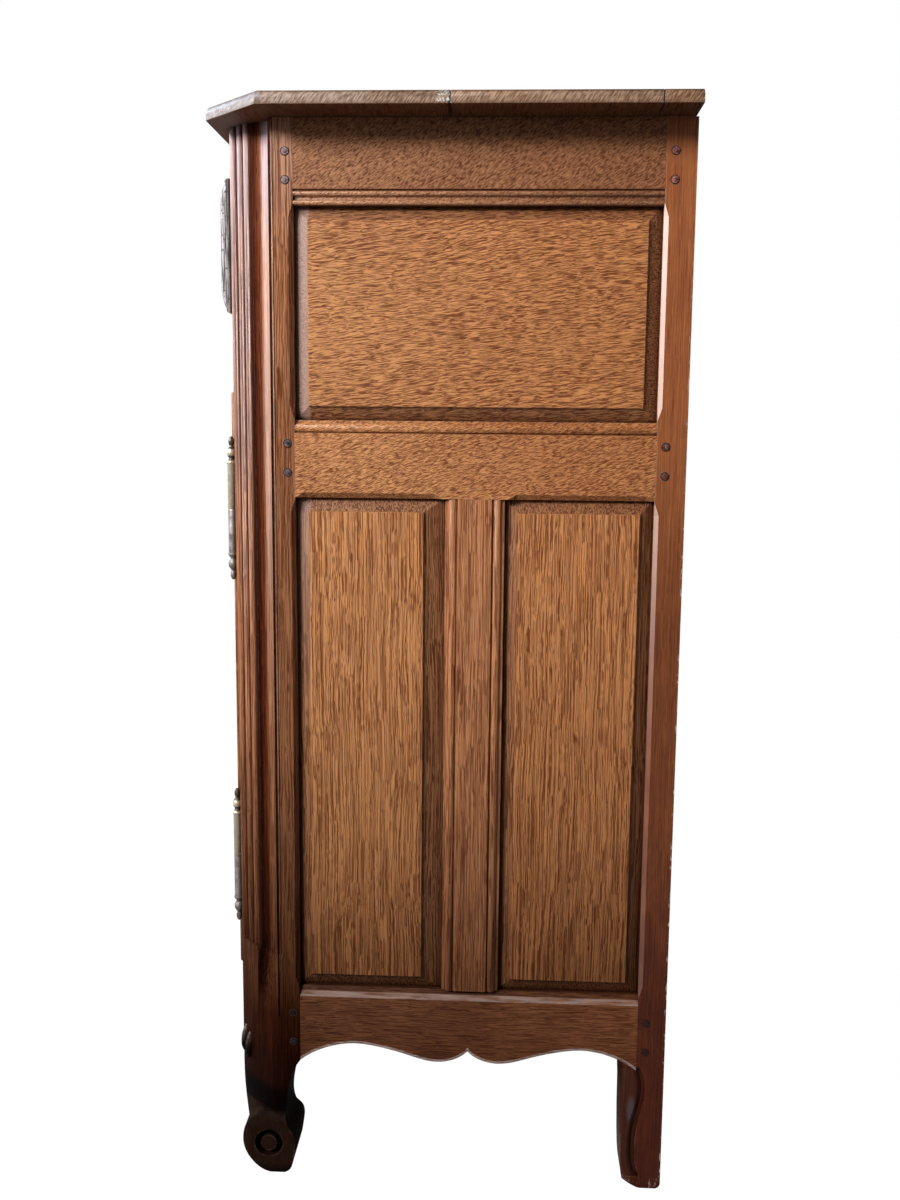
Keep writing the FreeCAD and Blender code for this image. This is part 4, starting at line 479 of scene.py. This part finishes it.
def metal(name, bright, dull, seed, shine, pin=None):
    """Tarnished metal, darker in the narrow turnings near a hinge pin."""
    f = Finish(bpy.data.materials.new(name))
    here = f.place()
    start = (seed, seed * 1.3, seed * 0.7)
    cloud = f.noise(f.moved(here, (60.0, 60.0, 60.0), start), 4.0, 0.6)
    pits = f.noise(f.moved(here, (420.0, 420.0, 420.0), start), 2.0)
    tarnish = (cloud.rise(0.35, 0.68) + f.near(0.006).fall(0.4, 0.9)).least(1.0)
    colour = f.mix(tarnish, bright, dull)
    if pin:
        x, y, _ = f.split(here)
        radius = ((x - pin[0]) ** 2.0 + (y - pin[1]) ** 2.0) ** 0.5
        colour = f.mix(radius.rise(0.0042, 0.0056, 0.85, 0.0), colour, tone(48, 36, 30))
    rough = shine + 0.3 * tarnish + 0.12 * pits
    normal = f.bump(pits, 0.2, 0.0004)
    bare = 1.0 - 0.35 * tarnish
    return f.surface({"Specular IOR Level": 0.5},
                     {"Base Color": colour, "Roughness": rough, "Metallic": bare, "Normal": normal})


FRAME_TONE = tone(164, 106, 66)
RAIL_TONE = tone(170, 116, 79)
MIDDLE_TONE = tone(205, 141, 92)
MUNTIN_TONE = tone(190, 126, 84)
APRON_TONE = tone(190, 126, 86)
POST_TONE = tone(180, 118, 80)
BACK_TONE = tone(178, 106, 64)
PANEL_TONE = tone(198, 134, 84)
TOP_TONE = tone(128, 92, 66)
INSIDE_TONE = tone(160, 116, 78)
PEG_TONE = tone(156, 130, 133)

OAK_NODES = {}


def wooden(grain, cut, pale, *nodes, **rest):
    """Notes grain direction, cut, tone and what else sets the finish of these nodes apart."""
    for node in nodes:
        OAK_NODES[node] = (grain, cut, pale, rest)


INSIDE = {"soil": NO_SOIL_OR_SHADE, "wear": 0.0, "sheen": 0.6}
for side in ("right", "left"):
    wooden("Z", CLOSE, POST_TONE, f"front_post_{side}", soil=POST_SOIL_AND_SHADE, dirt=POST_DIRT_AND_SHADE,
           marks=post_marks, wear=0.35, sheen=0.30, dulled=1.06, gloss=0.03)
    wooden("Z", SMOOTH, BACK_TONE, f"back_post_{side}", soil=BACK_SOIL_AND_SHADE, dirt=BACK_DIRT_AND_SHADE,
           marks=back_post_marks, wear=0.5, sheen=0.30, dulled=0.3)
    wooden("Z", CLOSE, MUNTIN_TONE, f"side_muntin_{side}")
    wooden("Y", SLANTED, RAIL_TONE, f"side_top_rail_{side}", marks=rail_marks)
    wooden("Y", SLOPING, MIDDLE_TONE, f"side_middle_rail_{side}", marks=middle_rail_marks)
    wooden("Y", WAVY, APRON_TONE, f"side_apron_{side}", marks=apron_marks)
    wooden("Y", CURLY, PANEL_TONE, f"side_upper_panel_{side}", marks=panel_marks, sheen=0.42)
    wooden("Z", STRAIGHT, PANEL_TONE, f"side_front_panel_{side}", f"side_back_panel_{side}",
           marks=panel_marks, sheen=0.42)
    wooden("Y", WAVY, INSIDE_TONE, f"drawer_side_{side}", soil=NO_SOIL_OR_SHADE, sheen=0.6)
wooden("X", WAVY, FRAME_TONE, "front_top_rail", "front_middle_rail", "front_apron", "door_top_rail",
       "door_bottom_rail")
wooden("X", CURLY, FRAME_TONE, "drawer_front", marks=drawer_marks)
wooden("Z", CLOSE, FRAME_TONE, "door_hinge_stile", "door_lock_stile")
wooden("Z", STRAIGHT, PANEL_TONE, "door_panel", wear=0.15)
wooden("X", WAVY, TOP_TONE, "top_front_board", "top_middle_board", "top_back_board",
       soil=NO_SOIL_OR_SHADE, marks=top_marks)
wooden("X", WAVY, INSIDE_TONE, "back_top_rail", "back_bottom_rail", "bottom_boards", "lower_shelf",
       "upper_shelf", "drawer_back", "drawer_bottom", **INSIDE)
wooden("Z", STRAIGHT, INSIDE_TONE, "back_boards", wear=0.0, sheen=0.6, marks=back_board_marks)
wooden("Y", WAVY, INSIDE_TONE, "shelf_cleats", "drawer_runners", "drawer_kickers", **INSIDE)
wooden("X", CLOSE, PEG_TONE, "side_pegs", soil=POST_SOIL_AND_SHADE, dirt=PEG_DIRT_AND_SHADE, marks=peg_marks)
wooden("Y", CLOSE, PEG_TONE, "front_pegs", "door_pegs")
wooden("Y", CLOSE, BACK_TONE, "back_pegs")


def round_arrises(piece, width):
    arris = piece.modifiers.new("arris", "BEVEL")
    arris.width = width
    arris.segments = 2
    arris.limit_method = "ANGLE"
    arris.angle_limit = math.radians(32)
    arris.harden_normals = True


def dress(node, material, width):
    """Gives a solid its material and rounds its arrises as years of rubbing do."""
    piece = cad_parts[node]
    piece.data.materials.clear()
    piece.data.materials.append(material)
    weld = piece.modifiers.new("weld", "WELD")
    weld.merge_threshold = SAME_PLACE
    flat = piece.modifiers.new("flat", "DECIMATE")
    flat.decimate_type = "DISSOLVE"
    flat.angle_limit = SAME_PLANE
    round_arrises(piece, width)


# Each board is cut from another place in the tree
SEED_STEP = 0.37
for number, (node, (grain, cut, pale, rest)) in enumerate(OAK_NODES.items()):
    dress(node, oak(node + "_oak", grain, pale, SEED_STEP * number, cut, **rest), WOOD_ARRIS)

METAL_NODES = (
    (metal("aged_brass", tone(226, 212, 180), tone(158, 142, 114), 1.0, 0.36),
     ("escutcheon", "pull_plates", "pull_bail_right", "pull_bail_left")),
    (metal("hinge_brass", tone(252, 240, 214), tone(206, 190, 162), 3.0, 0.36, HINGE_PIN),
     ("hinge_door_leaf_upper", "hinge_door_leaf_lower")),
    (metal("dark_iron", tone(172, 160, 154), tone(108, 94, 88), 2.0, 0.48),
     ("hinge_frame_leaf_upper", "hinge_frame_leaf_lower", "lock_case", "lock_bolt", "lock_keep",
      "key")),
)
for material, nodes in METAL_NODES:
    for node in nodes:
        dress(node, material, METAL_ARRIS)


# Aprons with a worn lower edge, pale from wear and painted sheen, and pegs with a dark ring

def merged_copy(node, name):
    """A copy of a solid with its triangles merged into whole faces, left open in edit mode."""
    bpy.ops.object.select_all(action="DESELECT")
    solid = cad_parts[node]
    solid.select_set(True)
    bpy.context.view_layer.objects.active = solid
    bpy.ops.object.duplicate()
    piece = bpy.context.object
    piece.name = name
    piece.modifiers.clear()
    bpy.ops.object.mode_set(mode="EDIT")
    bpy.ops.mesh.select_all(action="SELECT")
    bpy.ops.mesh.remove_doubles(threshold=SAME_PLACE)
    bpy.ops.mesh.dissolve_limited(angle_limit=SAME_PLANE)
    bpy.ops.mesh.select_all(action="DESELECT")
    return piece


def stand_for(piece, node, body):
    bpy.ops.object.mode_set(mode="OBJECT")
    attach(piece, body)
    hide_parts(node)


WEAR_WIDTH, WEAR_OUT = 0.0036, 0.0030
# Pale finish of the chamfer: wear and painted sheen
worn_and_sheen_edge = oak("worn_edge_oak", "Y", tone(168, 144, 136), 7.7, WAVY, NO_SOIL_OR_SHADE, wear=0.0, sheen=0.34)


def worn_apron(node, outer):
    """An apron whose shaped lower edge is rubbed down to a chamfer on its outer face, pale from wear
    and painted sheen.
    """
    piece = merged_copy(node, "worn_" + node)
    piece.data.materials.append(worn_and_sheen_edge)
    mesh = bmesh.from_edit_mesh(piece.data)
    for edge in mesh.edges:
        faces = [face.normal for face in edge.link_faces]
        face_on = any(normal.dot(outer) > 0.99 for normal in faces)
        below = any(normal.z < -0.3 and abs(normal.dot(outer)) < 0.1 for normal in faces)
        edge.select_set(face_on and below)
    bmesh.update_edit_mesh(piece.data)
    bpy.ops.mesh.bevel(offset=WEAR_WIDTH, segments=1, affect="EDGES", material=1, clamp_overlap=False)
    mesh = bmesh.from_edit_mesh(piece.data)
    reach = max(vertex.co.dot(outer) for vertex in mesh.verts)
    for vertex in mesh.verts:
        worn = any(face.material_index == 1 for face in vertex.link_faces)
        vertex.select_set(worn and vertex.co.dot(outer) < reach - 0.001)
    mesh.select_flush(False)
    bmesh.update_edit_mesh(piece.data)
    bpy.ops.transform.translate(value=outer * WEAR_OUT)
    stand_for(piece, node, "carcass")
    round_arrises(piece, WOOD_ARRIS)


worn_apron("side_apron_right", Vector((1, 0, 0)))
worn_apron("side_apron_left", Vector((-1, 0, 0)))
worn_apron("front_apron", Vector((0, -1, 0)))

RING_WIDTH, DOME_RUN, DOME_RISE = 0.0009, 0.0011, 0.0003
peg_ring = oak("peg_ring_oak", "X", tone(40, 26, 22), 8.3, CLOSE, NO_SOIL_OR_SHADE, wear=0.0)


def ringed_pegs(node, body, out):
    """Pegs with a dark sunk ring round a slightly domed head."""
    piece = merged_copy(node, "ringed_" + node)
    piece.data.materials.append(peg_ring)
    mesh = bmesh.from_edit_mesh(piece.data)
    reach = max(abs(vertex.co[out]) for vertex in mesh.verts)
    bpy.ops.mesh.select_mode(type="FACE")
    for face in mesh.faces:
        facing, place = face.normal[out], face.calc_center_median()[out]
        head = abs(facing) > 0.9 and abs(place) > reach - 0.002 and facing * place > 0
        face.select_set(head)
        face.material_index = 1 if head else 0
    bmesh.update_edit_mesh(piece.data)
    bpy.ops.mesh.inset(thickness=RING_WIDTH, depth=0.0, use_individual=True)
    mesh = bmesh.from_edit_mesh(piece.data)
    for face in mesh.faces:
        if face.select:
            face.material_index = 0
    bmesh.update_edit_mesh(piece.data)
    bpy.ops.mesh.inset(thickness=DOME_RUN, depth=DOME_RISE, use_individual=True)
    stand_for(piece, node, body)
    bpy.ops.object.shade_smooth_by_angle(angle=math.radians(35))


ringed_pegs("side_pegs", "carcass", 0)
ringed_pegs("front_pegs", "carcass", 1)
ringed_pegs("back_pegs", "carcass", 1)
ringed_pegs("door_pegs", "door", 1)


# Carved leaves

def carved_leaf(name, oak_finish, size, bow, lean, place, facing):
    """A low leaf in relief: a ball drawn out flat, bowed row by row, leaned and set on the wood."""
    bpy.ops.object.select_all(action="DESELECT")
    bpy.ops.mesh.primitive_uv_sphere_add(segments=24, ring_count=16, radius=1)
    piece = bpy.context.object
    piece.name = name
    bpy.ops.object.mode_set(mode="EDIT")
    bpy.ops.mesh.select_all(action="SELECT")
    bpy.ops.transform.resize(value=size)
    bpy.ops.mesh.bisect(plane_co=(-0.3 * size[0], 0, 0), plane_no=(1, 0, 0), use_fill=True,
                        clear_inner=True)
    bpy.ops.mesh.select_mode(type="VERT")
    rows = 8
    for row in range(-rows, rows + 1):
        mesh = bmesh.from_edit_mesh(piece.data)
        low, high = row / rows * size[2], (row + 1) / rows * size[2]
        for vertex in mesh.verts:
            vertex.select_set(low <= vertex.co.z + 1e-7 < high)
        mesh.select_flush(True)
        bmesh.update_edit_mesh(piece.data)
        bpy.ops.transform.translate(value=(0, bow * (row / rows) ** 2, 0))
    bpy.ops.mesh.select_all(action="SELECT")
    bpy.ops.transform.rotate(value=lean, orient_axis="X", center_override=(0, 0, 0))
    bpy.ops.transform.rotate(value=facing, orient_axis="Z", center_override=(0, 0, 0))
    bpy.ops.transform.translate(value=place)
    bpy.ops.mesh.normals_make_consistent(inside=False)
    bpy.ops.object.mode_set(mode="OBJECT")
    bpy.ops.object.shade_smooth_by_angle(angle=math.radians(50))
    piece.data.materials.append(oak_finish)
    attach(piece, "carcass")


# Place of each leaf on the knee: run across the canted corner, rise out of it, height
KNEE_LEAVES = ((0.0700, 0.0018, 0.167), (0.0580, 0.0038, 0.162))
LEAF_SIZE, LEAF_BOW, LEAF_LEAN = (0.0042, 0.0060, 0.0240), 0.005, math.radians(22)
# The leaves darken near the floor from grime and painted shade
LEAF_SOIL_AND_SHADE = ((1.0, 0.150, 0.186),)
knee_leaf = oak("knee_leaf_oak", "Z", tone(120, 104, 98), 9.1, CLOSE, LEAF_SOIL_AND_SHADE, POST_DIRT_AND_SHADE, wear=0.0)
for side, way in (("right", 1), ("left", -1)):
    facing = math.radians(-45 if way > 0 else 225)
    for number, (run, rise_out, height) in enumerate(KNEE_LEAVES):
        inwards, forwards = (run - rise_out) * DIAGONAL, (run + rise_out) * DIAGONAL
        place = (way * (SIDE_FACE - inwards), CANT_START - forwards, height)
        carved_leaf(f"knee_leaf_{side}_{number + 1}", knee_leaf, LEAF_SIZE, LEAF_BOW * way,
                    LEAF_LEAN * way, place, facing)


# Studio

def floor_finish():
    """Pale and plain, with only a faint shadow under the feet."""
    f = Finish(bpy.data.materials.new("pale_floor"))
    cloud = f.noise(f.moved(f.place(), (1.0, 1.0, 1.0)), 2.0)
    grey = f.mix(cloud, (0.24, 0.24, 0.24, 1), (0.26, 0.26, 0.26, 1))
    lit = f.node("ShaderNodeBsdfDiffuse", {}, {"Color": grey})
    white = f.node("ShaderNodeEmission", {}, {"Color": (1, 1, 1, 1), "Strength": 1.14})
    seen = f.node("ShaderNodeLightPath", {}, {}, "Is Camera Ray") * 0.88
    both = f.node("ShaderNodeMixShader", {}, {0: seen, 1: lit, 2: white})
    f.node("ShaderNodeOutputMaterial", {}, {"Surface": both})
    return f.owner


def soft_light(name, place, target, size, power, colour):
    lamp = bpy.data.lights.new(name, "AREA")
    lamp.shape = "RECTANGLE"
    lamp.size, lamp.size_y = size
    lamp.energy = power
    lamp.color = colour
    piece = bpy.data.objects.new(name, lamp)
    bpy.context.scene.collection.objects.link(piece)
    aim = Vector(target) - Vector(place)
    piece.location = place
    piece.rotation_euler = aim.to_track_quat("-Z", "Y").to_euler()


bpy.ops.object.select_all(action="DESELECT")
bpy.ops.mesh.primitive_plane_add(size=14, location=(0, 0, 0))
floor = bpy.context.object
floor.name = "floor"
floor.data.materials.append(floor_finish())

soft_light("window", place=(2.38, -2.18, 2.45), target=(0.4, 0.0, 0.85), size=(1.4, 0.8),
           power=134, colour=(0.98, 0.99, 1.0))
soft_light("front_window", place=(-0.7, -3.1, 2.0), target=(0.2, -0.2, 0.9), size=(2.2, 2.4),
           power=98, colour=(0.82, 0.91, 1.0))
soft_light("back_fill", place=(-2.6, 2.0, 2.2), target=(0.0, 0.0, 0.8), size=(2.0, 2.0),
           power=70, colour=(1.0, 0.97, 0.94))


def studio_world():
    """White behind the object, and a dimmer white sky that lights it."""
    f = Finish(bpy.data.worlds.new("studio"))
    sky = f.node("ShaderNodeBackground", {}, {"Color": (0.92, 0.96, 1.0, 1), "Strength": 0.10})
    behind = f.node("ShaderNodeBackground", {}, {"Color": (1, 1, 1, 1), "Strength": 1.0})
    seen = f.node("ShaderNodeLightPath", {}, {}, "Is Camera Ray")
    both = f.node("ShaderNodeMixShader", {}, {0: seen, 1: sky, 2: behind})
    f.node("ShaderNodeOutputWorld", {}, {0: both})
    bpy.context.scene.world = f.owner


studio_world()

# Camera at the photograph's viewing angle
LENS = 35.7
EYE = (1.7832, 0.08015, 0.9414)
DOWN_TILT, TURN, ROLL = math.radians(8.202), math.radians(-2.639), math.radians(-0.520)


def swung(first, second, angle):
    """Two square directions turned together, the first towards the second."""
    cos, sin = math.cos(angle), math.sin(angle)
    return cos * first + sin * second, cos * second - sin * first


ahead, right, down = Vector((-1, 0, 0)), Vector((0, 1, 0)), Vector((0, 0, -1))
ahead, right = swung(ahead, right, TURN)
ahead, down = swung(ahead, down, DOWN_TILT)
right, down = swung(right, down, ROLL)
lens = bpy.data.cameras.new("camera")
lens.lens = LENS
lens.sensor_width = 36
camera = bpy.data.objects.new("camera", lens)
bpy.context.scene.collection.objects.link(camera)
camera.matrix_world = Matrix.Translation(EYE) @ Matrix((right, -down, -ahead)).transposed().to_4x4()
bpy.context.scene.camera = camera
bpy.context.scene.view_settings.view_transform = "Standard"
